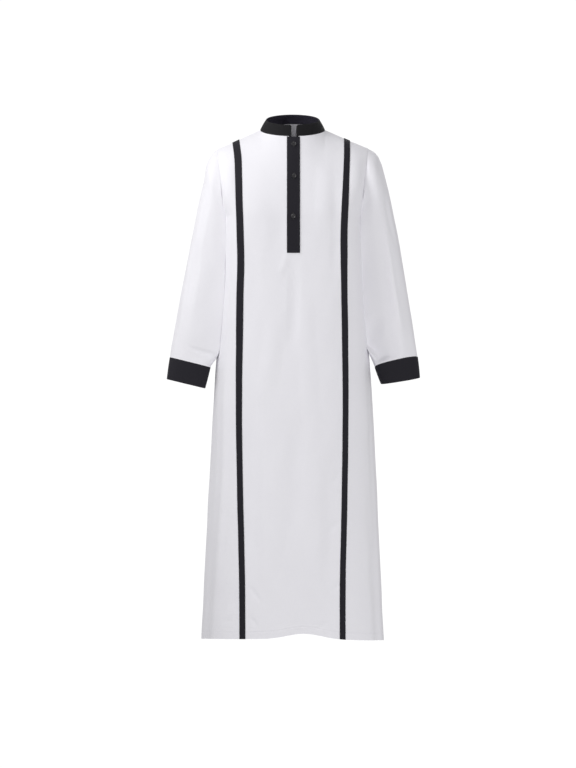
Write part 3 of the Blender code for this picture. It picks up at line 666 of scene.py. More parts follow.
def armhole(side, angle):
    """The armhole seam: angle 0 at the shoulder tip, 90 in front, 180 at the underarm, 270 behind."""
    angle = np.asarray(angle, float)
    half_width = read_curve(BODY, np.array(CHEST_DROP))[0]
    tip = shoulder_tip(side)
    underarm = np.array([float(half_width), 0, -CHEST_DROP])
    points = (tip + underarm) / 2 + np.cos(angle)[..., None] * (tip - underarm) / 2
    forward = np.sin(angle)
    fuller = 1 + ARMHOLE_FULL_BELOW * ((1 - np.cos(angle)) / 2) ** 2
    points[..., 1] -= np.where(forward > 0, ARMHOLE_FRONT, ARMHOLE_BACK) * fuller * forward
    points[..., 0] -= np.where(forward > 0, ARMHOLE_FRONT_SCOOP, ARMHOLE_BACK_SCOOP) * np.abs(forward)
    points[..., 0] *= side
    return points


def fall(facing, x_top, x_chest, row):
    """y and z of the lines that fall from the ridge (row 0) to the chest line (row 1)."""
    y, z, slope = ridge(x_top)
    end = section_depth(facing, np.full_like(x_chest, CHEST_DROP), x_chest)
    reach = facing * TOP_REACH
    return (
        hermite(y, reach * np.cos(slope), end, facing * CHEST_LEAN, row),
        hermite(z, reach * np.sin(slope), -CHEST_DROP, -CHEST_REACH, row),
    )


def fall_from_neckline(facing, x, row):
    """The same for columns that start at the neckline, which join their lines from the ridge part way
    down."""
    forward = np.sqrt(np.maximum(1 - (x / NECK_HALF_WIDTH) ** 2, 0))
    neck_y = NECK_MIDDLE_Y + facing * NECK_HALF_DEPTH * forward
    neck_z = NECK_MIDDLE_Z + facing * NECK_TILT * forward
    low = np.zeros_like(x)
    high = np.ones_like(x)
    for _ in range(HALVINGS):
        start = (low + high) / 2
        short_of_it = facing * (fall(facing, x, x, start)[0] - neck_y) < 0
        low = np.where(short_of_it, start, low)
        high = np.where(short_of_it, high, start)
    missing = neck_z - fall(facing, x, x, start)[1]
    y, z = fall(facing, x, x, start + (1 - start) * row)
    return y, z + missing * (1 - row) ** 3


def yoke_grid(facing, side, columns, rows):
    """The body's points between its top edge (row 0) and the chest line (row 1)."""
    row = rows[:, None]
    x = side * NECK_HALF_WIDTH * np.minimum(columns, 1)
    y, z = fall_from_neckline(facing, x, row)
    points = np.stack([np.broadcast_to(x, y.shape), y, z], axis=-1)
    middle = np.clip(columns, 1, 3)
    top = column_x(facing, side, middle, np.full_like(middle, TAPE_PATH[0][0]))
    y, z = fall(facing, top, column_x(facing, side, middle, np.full_like(middle, CHEST_DROP)), row)
    beyond = np.stack([column_x(facing, side, middle, -z), y, z], axis=-1)
    points = np.where((columns > 1)[:, None], beyond, points)
    share = np.clip(columns - 3, 0, 1)
    if share.any():
        at_tape = yoke_grid(facing, side, np.array([3.0]), rows)
        at_arm = armhole(side, math.pi * (row if facing < 0 else 2 - row))
        ends = outer_lines(facing, side, np.array([0.0, 1.0]), row)
        curve_on = outer_lines(facing, side, share, row)
        curve_on += (1 - share)[:, None] * (at_tape - ends[:, :1])
        curve_on += share[:, None] * (at_arm - ends[:, 1:])
        points = np.where((columns > 3)[:, None], curve_on, points)
    return points


def outer_lines(facing, side, share, row):
    """Lines from the shoulder seam to the chest line, before they are fitted to the tape and the armhole."""
    first = yoke_grid(facing, side, np.array([3.0]), np.zeros(1))[0]
    start = blend(first, shoulder_tip(side) * np.array([side, 1, 1]), share[:, None])
    x_from = float(guide_edge(facing, side, np.array(CHEST_DROP), True))
    end = section_wrap(facing, side, CHEST_DROP, x_from, share)
    slope = ridge(start[:, 0])[2]
    up_seam = np.stack([np.zeros_like(slope), facing * np.cos(slope), facing * np.sin(slope)], axis=-1)
    down = np.array([0, facing * CHEST_LEAN, -CHEST_REACH])
    round_arm = np.array([0, -facing * CHEST_REACH, 0])
    arriving = blend(down, round_arm, share[:, None])
    return hermite(start, TOP_REACH * up_seam, end, arriving, row[..., None])


def hem_offset(facing, x, y):
    """How much higher than HEM_DROP the hem is cut here."""
    if facing > 0:
        return -BACK_HEM_SINK * ease(y / HEM_BACK_Y)
    arch = HEM_ARCH * np.exp(-(((x - HEM_ARCH_X) / HEM_ARCH_WIDTH) ** 2))
    sink = HEM_RIGHT_SINK * ease(x / HEM_SIDE_X)
    return HEM_RISE_WITH_DEPTH * np.abs(y) + arch * ease(np.abs(y) / HEM_ARCH_DEPTH) - sink


def skirt_row(facing, side, columns, drop):
    """The body's points below the chest line. The hem's shaping comes in over the lowest part."""
    inner = np.minimum(columns, 3)
    x = column_x(facing, side, inner, np.full_like(inner, drop))
    y = section_depth(facing, np.full_like(inner, drop), x)
    points = np.stack([x, y, np.full_like(x, -drop)], axis=-1)
    x_from = float(guide_edge(facing, side, np.array(drop), True))
    wrap = section_wrap(facing, side, np.array(drop), x_from, np.clip(columns - 3, 0, 1))
    points = np.where((columns > 3)[:, None], wrap, points)
    points = folded(points)
    shaping = ease((drop - HEM_SHAPING_FROM) / (HEM_DROP - HEM_SHAPING_FROM))
    points[:, 2] += shaping * hem_offset(facing, points[:, 0], points[:, 1])
    return points


def body_grid(facing, columns, rows):
    """The body's plain surface. Columns left of the centre are negative; rows up to 1 are the yoke's, and
    higher ones are 1 plus the drop below the chest line."""
    grid = np.zeros((len(rows), len(columns), 3))
    yoke = int(np.sum(rows <= 1))
    for side in (-1, 1):
        here = np.flatnonzero(columns < 0 if side < 0 else columns >= 0)
        if len(here):
            there = np.abs(columns[here])
            grid[:yoke, here] = yoke_grid(facing, side, there, rows[:yoke])
            for r in range(yoke, len(rows)):
                grid[r, here] = skirt_row(facing, side, there, CHEST_DROP + rows[r] - 1)
    return grid


def grid_normals(grid, closed=False):
    """Unit normals of a grid of points, from its rows (running down) and columns (left to right)."""
    down = np.gradient(grid, axis=0)
    if closed:
        across = (np.roll(grid, -1, axis=1) - np.roll(grid, 1, axis=1)) / 2
    else:
        across = np.gradient(grid, axis=1)
    return unit(np.cross(down, across))


def creased(across, down, table, around=False):
    """Height of the table's creases at these places."""
    offset = np.zeros(np.broadcast(across, down).shape)
    for top, bottom, bow, half_width, start, end, depth in table:
        along = (down - start) / (end - start)
        inside = np.clip(along, 0, 1)
        gap = across - blend(top, bottom, inside) - bow * np.sin(math.pi * inside)
        if around:
            gap = within_half_turn(gap)
        taper = ease(along / CREASE_FADE) * ease((1 - along) / CREASE_FADE)
        offset += depth * taper * bell(gap / half_width)
    return offset


def uneven(across, down):
    """The slight unevenness of worn cloth, in metres, from waves of unlike lengths."""
    total = 0
    for width, length, phase in UNEVEN_WAVES:
        total = total + np.sin(math.pi * (across / width + down / length) + phase)
    return UNEVEN_HEIGHT * total


def body_surface(facing, columns, rows):
    """The body's outer cloth, with its creases: points and normals."""
    grid = body_grid(facing, columns, rows)
    normals = grid_normals(grid)
    drop = -grid[..., 2]
    offset = creased(body_angle(grid), drop, ROUND_CREASES, around=True)
    offset += uneven(grid[..., 0] + UNEVEN_WITH_DEPTH * grid[..., 1], drop)
    if facing < 0:
        offset += creased(grid[..., 0], drop, FRONT_CREASES)
    calm = ease(seam_distance(grid) / SEAM_CALM)
    grid = grid + normals * (offset * calm)[..., None]
    return grid, grid_normals(grid)


@functools.cache
def held_points():
    """Points along the neckline, the shoulder seams and the armholes, where the cloth is held."""
    ends = [armhole(side, np.linspace(0, 2 * math.pi, HELD_ON_ARMHOLE)) for side in (-1, 1)]
    across = np.linspace(-4, 4, HELD_ON_TOP)
    tops = [body_grid(facing, across, np.zeros(1))[0] for facing in (-1, 1)]
    return np.concatenate([*ends, *tops])


def seam_distance(grid):
    """Distance of each point from the seams that hold the cloth, up to FAR_FROM_SEAMS."""
    held = held_points()
    found = np.full(grid.shape[:2], FAR_FROM_SEAMS)
    for row in range(len(grid)):
        if -grid[row, :, 2].max() < CHEST_DROP + FAR_FROM_SEAMS:
            gaps = np.linalg.norm(grid[row][:, None] - held[None], axis=-1).min(axis=1)
            found[row] = np.minimum(gaps, FAR_FROM_SEAMS)
    return found


# --- Meshes -------------------------------------------------------------------------------------------


def grid_uv(grid, closed=False):
    """Metres across and down the cloth for each point, so that the weave has its true scale."""
    if closed:
        grid = np.concatenate([grid, grid[:, :1]], axis=1)
    across = np.linalg.norm(np.diff(grid, axis=1), axis=-1)
    across = np.concatenate([np.zeros((len(grid), 1)), np.cumsum(across, axis=1)], axis=1)
    across = across - across[:, across.shape[1] // 2 : across.shape[1] // 2 + 1]
    down = running(np.linalg.norm(np.diff(grid, axis=0), axis=-1).mean(axis=1))
    return np.stack([across, np.broadcast_to(-down[:, None], across.shape)], axis=-1)


def add_object(name, mesh, material):
    mesh.materials.append(material)
    made = bpy.data.objects.new(name, mesh)
    bpy.context.scene.collection.objects.link(made)
    return made


def set_mask(mesh, name, values):
    """One number for each point of the mesh, for its material to read."""
    mask = mesh.attributes.new(name, "FLOAT", "POINT")
    mask.data.foreach_set("value", np.asarray(values, np.float32))


def add_shell(name, outer, inner, material, closed=False, skip=None, pucker=None):
    """One closed shell between two grids of points. `skip` picks the cells that are left open."""
    rows, columns = outer.shape[:2]
    uv = grid_uv(outer, closed)
    wide = columns if closed else columns - 1
    r, c = np.meshgrid(np.arange(rows - 1), np.arange(wide), indexing="ij")
    keep = np.ones(r.shape, bool)
    if skip:
        keep[skip] = False
    r, c = r[keep], c[keep]
    after = (c + 1) % columns
    corners = ((r, c, c), (r + 1, c, c), (r + 1, after, c + 1), (r, after, c + 1))
    cells = np.stack([row * columns + column for row, column, _ in corners], axis=-1)
    cell_uv = np.stack([uv[row, wide_column] for row, _, wide_column in corners], axis=1)
    # An edge that no other cell has the other way round is on the rim.
    shift = rows * columns
    starts, ends = cells.ravel(), np.roll(cells, -1, axis=1).ravel()
    alone = ~np.isin(starts * shift + ends, ends * shift + starts)
    a, b = starts[alone], ends[alone]
    start_uv = cell_uv.reshape(-1, 2)[alone]
    end_uv = np.roll(cell_uv, -1, axis=1).reshape(-1, 2)[alone]
    rims = np.stack([b, a, a + shift, b + shift], axis=-1)
    rim_uv = np.stack([end_uv, start_uv, start_uv, end_uv], axis=1)
    faces = np.concatenate([cells, cells[:, ::-1] + shift, rims])
    face_uv = np.concatenate([cell_uv, cell_uv[:, ::-1], rim_uv])
    points = np.concatenate([outer.reshape(-1, 3), inner.reshape(-1, 3)])
    used = np.unique(faces)
    renumber = np.zeros(len(points), int)
    renumber[used] = np.arange(len(used))
    mesh = bpy.data.meshes.new(name)
    mesh.from_pydata(points[used].tolist(), [], renumber[faces].tolist())
    mesh.uv_layers.new(name="cloth").data.foreach_set("uv", face_uv.astype(np.float32).ravel())
    if pucker is not None:
        set_mask(mesh, "pucker", np.concatenate([pucker.ravel(), pucker.ravel()])[used])
    mesh.shade_smooth()
    mesh.set_sharp_from_angle(angle=CLOTH_SHARP)
    return add_object(name, mesh, material)


def rounded(distance, radius):
    """Share of the full thickness this far from an edge, so that the edge is rolled and not cut square."""
    in_from_edge = np.clip(distance / radius, 0, 1)
    return EDGE_SHARE + (1 - EDGE_SHARE) * np.sqrt(1 - (1 - in_from_edge) ** 2)


def add_band(name, middle, normals, wall, edges, material, closed=False):
    """A strip with rolled edges: `edges` is each point's distance from the strip's edge."""
    half = wall / 2 * rounded(edges, wall * EDGE_ROLL)[..., None]
    return add_shell(name, middle + normals * half, middle - normals * half, material, closed)


def capsules(centres, forwards, ups, length, radius):
    """Corners, side faces and end faces of short threads that lie on the cloth and dip into it at both
    ends."""
    centres = np.asarray(centres)
    forwards = np.broadcast_to(forwards, centres.shape)
    ups = np.broadcast_to(ups, centres.shape)
    shares = np.array([-0.5, -0.3, 0.3, 0.5])
    heights = np.array([-0.8, 0.45, 0.45, -0.8]) * radius
    widths = np.array([0.25, 1, 1, 0.25]) * radius
    base = centres[:, None] + forwards[:, None] * (shares * length)[:, None]
    base = base + ups[:, None] * heights[:, None]
    sideways = np.cross(forwards, ups)
    turn = 2 * math.pi * np.arange(STITCH_SIDES) / STITCH_SIDES
    ring = np.cos(turn)[:, None] * sideways[:, None, :] + np.sin(turn)[:, None] * ups[:, None, :]
    corners = base[:, :, None] + ring[:, None] * widths[:, None, None]
    k, s = np.meshgrid(np.arange(3) * STITCH_SIDES, np.arange(STITCH_SIDES), indexing="ij")
    t = (s + 1) % STITCH_SIDES
    sides = np.stack([k + s, k + t, k + t + STITCH_SIDES, k + s + STITCH_SIDES], axis=-1).reshape(-1, 4)
    per_thread = 4 * STITCH_SIDES
    starts = np.arange(len(centres))[:, None, None] * per_thread
    ends = np.array([range(STITCH_SIDES)[::-1], range(3 * STITCH_SIDES, per_thread)])
    quads = (sides[None] + starts).reshape(-1, 4)
    caps = (ends[None] + starts).reshape(-1, STITCH_SIDES)
    return corners.reshape(-1, 3), quads, caps


def stitch_line(points, normals):
    """A row of stitches along a line that lies on the cloth."""
    gaps = np.linalg.norm(np.diff(points, axis=0), axis=1)
    at = running(gaps)
    centres = (np.arange(int(at[-1] / STITCH_PITCH)) + 0.5) * STITCH_PITCH

    def on_line(values, places):
        return np.stack([np.interp(places, at, values[:, k]) for k in range(3)], axis=-1)

    half = STITCH_LENGTH / 2
    forwards = unit(on_line(points, centres + half) - on_line(points, centres - half))
    ups = unit(on_line(normals, centres))
    return capsules(on_line(points, centres), forwards, ups, STITCH_LENGTH, STITCH_RADIUS)


def add_threads(name, threads, material):
    """Threads of one name as one mesh on the one body."""
    points, faces = [], []
    shift = 0
    for corners, quads, caps in threads:
        points.append(corners)
        faces += (quads + shift).tolist() + (caps + shift).tolist()
        shift += len(corners)
    mesh = bpy.data.meshes.new(name)
    mesh.from_pydata(np.concatenate(points).tolist(), [], faces)
    mesh.shade_smooth()
    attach(add_object(name, mesh, material), "root")


def add_stitching(name, lines, material):
    """Rows of stitches along lines, each given as points and normals."""
    add_threads(name, [stitch_line(*line) for line in lines], material)


# --- Materials ----------------------------------------------------------------------------------------


class Nodes:
    """A short way to write a material's node tree."""

    def __init__(self, name):
        self.material = bpy.data.materials.new(name)
        self.material.use_nodes = True
        self.tree = self.material.node_tree
        self.shader = self.tree.nodes["Principled BSDF"]

    def add(self, kind, inputs=(), **settings):
        node = self.tree.nodes.new(kind)
        for key, value in settings.items():
            setattr(node, key, value)
        self.fill(node, inputs)
        return node

    def fill(self, node, inputs):
        """Sets the node's sockets to numbers or links them to other nodes."""
        for key, value in dict(inputs).items():
            if isinstance(value, bpy.types.Node):
                value = value.outputs[0]
            if isinstance(value, bpy.types.NodeSocket):
                self.tree.links.new(value, node.inputs[key])
            else:
                node.inputs[key].default_value = value

    def math(self, operation, a, b=0.0):
        return self.add("ShaderNodeMath", {0: a, 1: b}, operation=operation)

    def total(self, *parts):
        """The sum of nodes, each times its share."""
        node, share = parts[0]
        found = self.math("MULTIPLY", node, share)
        for node, share in parts[1:]:
            found = self.math("ADD", found, self.math("MULTIPLY", node, share))
        return found

    def wave(self, along, pitch):
        """A sine along a length, with this distance between its ridges."""
        return self.math("SINE", self.math("MULTIPLY", along, 2 * math.pi / pitch))

    def noise(self, place, scale, detail=3.0, rough=0.55, stretch=None):
        if stretch:
            place = self.add("ShaderNodeMapping", {"Vector": place, "Scale": stretch})
        inputs = {"Vector": place, "Scale": scale, "Detail": detail, "Roughness": rough}
        return self.add("ShaderNodeTexNoise", inputs)

    def between(self, share, dark, light):
        """A colour between two."""
        inputs = {0: share, 6: (*dark, 1), 7: (*light, 1)}
        return self.add("ShaderNodeMix", inputs, data_type="RGBA").outputs[2]

    def attribute(self, name):
        return self.add("ShaderNodeAttribute", attribute_name=name).outputs["Fac"]

    def bump(self, height, strength, distance):
        inputs = {"Height": height, "Strength": strength, "Distance": distance}
        return self.add("ShaderNodeBump", inputs)


def plain_weave(nodes, u, v, pitch):
    """Height of a plain weave: warp and weft threads that pass over each other in turn."""
    return nodes.math("MULTIPLY", nodes.wave(u, 2 * pitch), nodes.wave(v, 2 * pitch))


def twill_weave(nodes, u, v, pitch):
    """Height of a twill: fine diagonal ribs."""
    rib = nodes.wave(nodes.total((u, 1.0), (v, 0.8)), pitch)
    return nodes.total((rib, 1.0), (nodes.wave(v, pitch * 0.55), 0.35))


def cloth_material(name, light, dark, weave, pitch, height, roughness, sheen, tint, ripple):
    """Woven cloth: uneven threads, the weave's relief, a slight sheen, and ripples beside the seams. A
    point's tone attribute is the share by which the point is lighter than the cloth's own colour: painted
    light, used on the collar's inside, with a darker outside."""
    nodes = Nodes(name)
    uv = nodes.add("ShaderNodeUVMap", uv_map="cloth")
    u, v, _ = nodes.add("ShaderNodeSeparateXYZ", {0: uv}).outputs
    slubs = nodes.noise(uv, 60.0, stretch=(1, 12, 1))
    threads = nodes.noise(uv, 60.0, stretch=(12, 1, 1))
    mix = nodes.total((slubs, 0.35), (threads, 0.35), (nodes.noise(uv, 9.0), 0.3))
    ramp = nodes.add("ShaderNodeMapRange", {"Value": mix, "From Min": 0.35, "From Max": 0.65})
    colour = nodes.between(ramp, dark, light)
    # The tone attribute scales the colour: painted light on the collar's inside, and darker on its outside.
    lighter = nodes.math("ADD", nodes.attribute("painted_light_tone"), 1.0)
    colour_and_painted_light = nodes.add("ShaderNodeVectorMath", {0: colour, "Scale": lighter}, operation="SCALE")
    rough = {"Value": mix, "From Min": 0.3, "From Max": 0.7}
    rough.update({"To Min": roughness - 0.05, "To Max": roughness + 0.05})
    relief = nodes.bump(weave(nodes, u, v, pitch), 0.6, height)
    lumps = nodes.noise(uv, 95.0, detail=1.5, stretch=(0.55, 1.6, 1))
    rippled = nodes.bump(nodes.math("MULTIPLY", nodes.attribute("pucker"), lumps), 0.75, ripple)
    nodes.fill(rippled, {"Normal": relief})
    looks = {
        "Base Color": colour_and_painted_light,
        "Roughness": nodes.add("ShaderNodeMapRange", rough),
        "Specular IOR Level": 0.25,
        "Sheen Weight": sheen,
        "Sheen Roughness": 0.45,
        "Sheen Tint": (*tint, 1),
        "Normal": rippled,
    }
    nodes.fill(nodes.shader, looks)
    return nodes.material


def white_cloth():
    return cloth_material(
        "white_cloth",
        light=(0.848, 0.839, 0.88),
        dark=(0.824, 0.815, 0.858),
        weave=plain_weave,
        pitch=0.00042,
        height=0.00006,
        roughness=0.62,
        sheen=0.1,
        tint=(1, 1, 1),
        ripple=0.0011,
    )


def black_cloth():
    return cloth_material(
        "black_cloth",
        light=(0.012, 0.0109, 0.0168),
        dark=(0.0088, 0.008, 0.0126),
        weave=twill_weave,
        pitch=0.00085,
        height=0.00008,
        roughness=0.72,
        sheen=0.05,
        tint=(0.55, 0.55, 0.62),
        ripple=0.0006,
    )


def thread_material(name, colour, roughness):
    """Sewing thread: a fine twist along the stitch."""
    nodes = Nodes(name)
    place = nodes.add("ShaderNodeTexCoord").outputs["Object"]
    twist = nodes.noise(place, 2400.0, detail=2.0, rough=0.5)
    looks = {
        "Base Color": nodes.between(twist, [value * 0.75 for value in colour], colour),
        "Roughness": roughness,
        "Sheen Weight": 0.15,
        "Normal": nodes.bump(twist, 0.5, 0.00005),
    }
    nodes.fill(nodes.shader, looks)
    return nodes.material


def button_material():
    """Cast plastic: near black, satin, with faint clouds and fine turning marks."""
    nodes = Nodes("button_plastic")
    place = nodes.add("ShaderNodeTexCoord").outputs["Object"]
    clouds = nodes.noise(place, 260.0, rough=0.5)
    scratches = nodes.noise(place, 1900.0, detail=4.0, rough=0.5)
    looks = {
        "Base Color": nodes.between(clouds, (0.02, 0.019, 0.022), (0.034, 0.032, 0.036)),
        "Roughness": 0.3,
        "Normal": nodes.bump(scratches, 0.2, 0.00003),
    }
    nodes.fill(nodes.shader, looks)
    return nodes.material


# --- Pieces -------------------------------------------------------------------------------------------


def dress(piece, slot, node, cut=None, area=None):
    """The piece rides on the one body and stands for this CAD node, which is hidden. `slot` is not used;
    `cut` and `area` are not used."""
    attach(piece, "root")
    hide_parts(node)


def body_rows(lowest=HEM_DROP, first=0.0):
    """Rows of the yoke and the skirt, close together at the shoulder seam and in the hem."""
    drops = np.concatenate([spread(*SKIRT_DROPS)[1:], HEM_DROP - np.array(HEM_ROWS)])
    drops = np.append(drops[drops < lowest - LEAST_ROW], lowest)
    return np.concatenate([spread(first, *YOKE_ROWS), 1 + drops - CHEST_DROP])


def front_columns():
    """Columns of the front from left to right, with the placket's and the slot's edges among them."""
    left, right = -PLACKET_X[0] / NECK_HALF_WIDTH, PLACKET_X[1] / NECK_HALF_WIDTH
    left = spread(left, 2, left + 0.03, 18, *OUTER_COLUMNS)
    right = spread(right, 2, right + 0.03, 17, *OUTER_COLUMNS)
    return np.concatenate([-left[::-1], spread(SLOT_X[0], 5, SLOT_X[1]) / NECK_HALF_WIDTH, right])


def back_columns():
    """Seen from behind, the columns run from the viewer's right to the left."""
    half = spread(0, 21, *OUTER_COLUMNS)
    return np.concatenate([half[:0:-1], -half])


def both_ends(edge, steps):
    """Places from 0 to 1: as in `edge` at both ends, and in even steps between."""
    edge = np.array(edge)
    inside = np.linspace(edge[-1], 1 - edge[-1], steps + 1)[1:-1]
    return np.concatenate([edge, inside, 1 - edge[::-1]])


def along(grid, axis):
    """Distance of each point from the first row (axis 0) or the first column (axis 1)."""
    steps = np.linalg.norm(np.diff(grid, axis=axis), axis=-1)
    start = np.zeros_like(grid.take([0], axis=axis)[..., 0])
    return np.concatenate([start, np.cumsum(steps, axis=axis)], axis)


def from_ends(distances, axis):
    """The same, from the nearer of the two ends."""
    return np.minimum(distances, distances.take([-1], axis=axis) - distances)


def stitched(surface, normals, *places):
    """The lines of stitches along these rows and columns of a grid."""
    return [(surface[place], normals[place]) for place in places]


def rippling(beside):
    """1 at a sewn seam, 0 away from it, for the ripples in the cloth."""
    return np.clip(1 - beside / PUCKER_REACH, 0, 1) ** PUCKER_FADE


def seam_pucker(facing, grid, columns):
    """How much each point of the front or back ripples: beside seams, tapes, placket and hem."""
    column = np.abs(columns)
    beside = np.broadcast_to((4 - column) * OUTER_COLUMN, grid.shape[:2])
    if facing < 0:
        from_tape = np.minimum(np.abs(column - 2), np.abs(column - 3)) * TAPE_COLUMN
        across = np.abs(grid[..., :1] - np.array(PLACKET_X)).min(axis=-1)
        below = np.maximum(-grid[..., 2] - PLACKET_DROP, 0)
        beside = np.minimum(np.minimum(beside, from_tape), np.hypot(across, below))
    beside = np.minimum(beside, np.abs(grid[..., 2] - grid[-1:, :, 2] - HEM_DEPTH))
    return rippling(np.minimum(beside, seam_distance(grid)))


def panel(name, facing, columns, material, skip=None):
    """Front or back: rolled in slightly at its seams and doubled in its hem. Also the lines of the stitches
    in the hem and beside both side seams."""
    rows = body_rows()
    grid, normals = body_surface(facing, columns, rows)
    pucker = seam_pucker(facing, grid, columns)
    on_shoulder = (np.abs(columns) >= 1)[None, :]
    from_side = from_ends(along(grid, 1), 1)
    from_top = along(grid, 0)
    roll = np.maximum(bell(from_side / SEAM_ROLL_REACH), on_shoulder * bell(from_top / SEAM_ROLL_REACH))
    above_hem = grid[..., 2] - grid[-1:, :, 2]
    groove = HEM_GROOVE * bell((above_hem - HEM_DEPTH) / HEM_GROOVE_REACH)
    tuck = np.where(on_shoulder | (from_top > 0), 0, NECK_TUCK)
    grid = grid - normals * (roll * SEAM_ROLL + groove)[..., None]
    grid[..., 2] += tuck
    normals = grid_normals(grid)
    thick = np.where(above_hem < HEM_DEPTH, HEM_CLOTH, CLOTH) * rounded(above_hem, HEM_CLOTH / 2)
    made = add_shell(name, grid, grid - normals * thick[..., None], material, skip=skip, pucker=pucker)
    hem = len(rows) - len(HEM_ROWS) + 1
    seam = slice(SIDE_STITCH_ROW, int(np.argmin(np.abs(rows - 1))) + 1)
    sides = (SIDE_STITCH_COLUMN, len(columns) - 1 - SIDE_STITCH_COLUMN)
    return made, stitched(grid, normals, hem, *((seam, column) for column in sides))


def front(material):
    columns = front_columns()
    xs = columns * NECK_HALF_WIDTH
    slot = np.flatnonzero((xs > SLOT_X[0] - A_HAIR) & (xs < SLOT_X[1] - A_HAIR))
    lowest = int(np.argmin(np.abs(body_rows() - (1 + SLOT_DROP - CHEST_DROP))))
    return panel("front_cloth", -1, columns, material, (slice(lowest), slot))


def overlay(name, columns, rows, lift, wall, material, width=None):
    """A strip on the front with rolled edges. Also its outer points and their normals. `width` gives the
    strip's width at a drop, as a share."""
    grid, normals = body_surface(-1, columns, rows)
    if width:
        centre = grid[:, len(columns) // 2, None]
        grid = centre + (grid - centre) * width(-centre[..., 2:])
    edges = np.minimum(from_ends(along(grid, 1), 1), along(grid[::-1], 0)[::-1])
    middle = grid + normals * (lift + wall / 2)
    made = add_band(name, middle, normals, wall, edges, material)
    return made, middle + normals * (wall / 2), normals


def tape(side_name, material):
    """A tape and the lines of its two rows of stitches."""
    side = SIDES[side_name]
    drops, *shares = np.transpose(TAPE_SPREAD)
    seen = shares[side > 0]
    across = np.array(TAPE_COLUMNS)
    columns = np.sort(side * (2 + np.concatenate([across, [0.5], 1 - across])))
    made, surface, normals = overlay(
        f"tape_{side_name}_cloth",
        columns,
        body_rows(first=TAPE_TOP_ROW),
        TAPE_LIFT,
        TAPE_CLOTH,
        material,
        lambda drop: np.interp(drop, drops, seen),
    )
    inside = (TAPE_STITCH_COLUMN, len(columns) - 1 - TAPE_STITCH_COLUMN)
    return made, stitched(surface, normals, *((slice(None), column) for column in inside))


def placket(material, thread):
    """The strip on top and the one underneath, and the stitching on the upper one."""
    edge = np.array(PLACKET_EDGE)
    width = PLACKET_X[1] - PLACKET_X[0]
    columns = (PLACKET_X[0] + width * both_ends(edge / width, 4)) / NECK_HALF_WIDTH
    rows = body_rows(PLACKET_DROP - edge[-1] - 0.004, PLACKET_TOP_ROW)
    rows = np.concatenate([rows, 1 + PLACKET_DROP - CHEST_DROP - edge[::-1]])
    upper, surface, normals = overlay("placket_top", columns, rows, PLACKET_LIFT, PLACKET_CLOTH, material)
    left, right = len(edge) - 2, len(columns) - len(edge)
    low = len(rows) - len(edge)
    down, across = slice(low + 1), slice(left, right + 1)
    lines = stitched(surface, normals, (down, left), (down, right), (low, across), (low + 1, across))
    inside = spread(SLOT_X[0] + SEAM_GAP, 6, SLOT_X[1] - SEAM_GAP) / NECK_HALF_WIDTH
    rows = body_rows(SLOT_DROP - SEAM_GAP, PLACKET_TOP_ROW)
    lower = overlay("placket_below", inside, rows, -PLACKET_CLOTH, PLACKET_CLOTH, material)[0]
    add_stitching("placket_stitches", lines, thread)
    return upper, lower


def sleeve_rings(side_name, shares, angles):
    """The sleeve's outer cloth: one ring for each share of its length. Angle 0 is outside, 90 degrees in
    front, 180 inside."""
    side = SIDES[side_name]
    mirror = np.array([side, 1, 1])
    cos, sin = np.cos(angles)[:, None], np.sin(angles)[:, None]
    seam = armhole(side, angles) - (armhole(side, 0.0) + armhole(side, math.pi)) / 2
    rings = []
    for share in shares:
        row = read_curve(SLEEVES, np.array(share))
        inner_x, inner_y, inner_drop = row[:3]
        outer_x = row[4] if side > 0 else row[3]
        outer_y, outer_drop, half_depth, square = row[5:]
        inner = np.array([inner_x, inner_y, -inner_drop])
        outer = np.array([outer_x, outer_y, -outer_drop])
        # The ring leaves the armhole's own shape over the first part of the sleeve.
        held = 1 - ease(share / SLEEVE_HEAD)
        outer += held * (shoulder_tip(side) - SHOULDER_TIP)
        across = (outer - inner) / 2
        tilt = RING_TILTS[side_name][0] * ease((share - RING_TILT_FROM) / (1 - RING_TILT_FROM))
        forward = np.array([0, -half_depth, tilt])
        fold = np.zeros_like(angles)
        for fold_side, centre, half_angle, deepest, reach, depth in SLEEVE_FOLDS:
            if fold_side == side_name:
                turn = within_half_turn(np.degrees(angles) - centre)
                fold += depth * bell(turn / half_angle) * bell((share - deepest) / reach)
        swell = 1 + fold / np.linalg.norm(across)
        cornered = square + PRESS_SQUARE * ease(share / PRESS_SQUARE_BY)
        square = np.where((cos < 0) & (sin > 0), cornered, square)
        spoke = across * power(cos, 2 / square) + forward * power(sin, 2 / square)
        shape = held * (seam * mirror - across * cos - forward * sin)
        rings.append(((inner + outer) / 2 + swell[:, None] * spoke + shape) * mirror)
    return np.array(rings)


def sleeve_angles(side):
    """Angles round a sleeve from the underarm seam. Seen from outside, they run from left to right."""
    turn = math.pi + 2 * math.pi * np.arange(SLEEVE_COLUMNS) / SLEEVE_COLUMNS
    return turn if side < 0 else -turn


def flank(side):
    """How far out the body's front is beside the sleeve, by drop below the chest line and by depth."""
    grid, _ = body_surface(-1, np.sort(side * np.linspace(3, 4, 33)), 1 + FLANK_DROPS)
    grid = grid[:, ::-side]
    return np.array([np.interp(FLANK_DEPTHS, -row[:, 1], side * row[:, 0]) for row in grid])


def in_table(table, row, column):
    """The table's values between its rows and columns, which are given as shares."""
    row = np.clip(row, 0, 1) * (table.shape[0] - 1)
    column = np.clip(column, 0, 1) * (table.shape[1] - 1)
    r = np.minimum(row.astype(int), table.shape[0] - 2)
    c = np.minimum(column.astype(int), table.shape[1] - 2)
    down, across = row - r, column - c
    above = blend(table[r, c], table[r, c + 1], across)
    below = blend(table[r + 1, c], table[r + 1, c + 1], across)
    return blend(above, below, down)


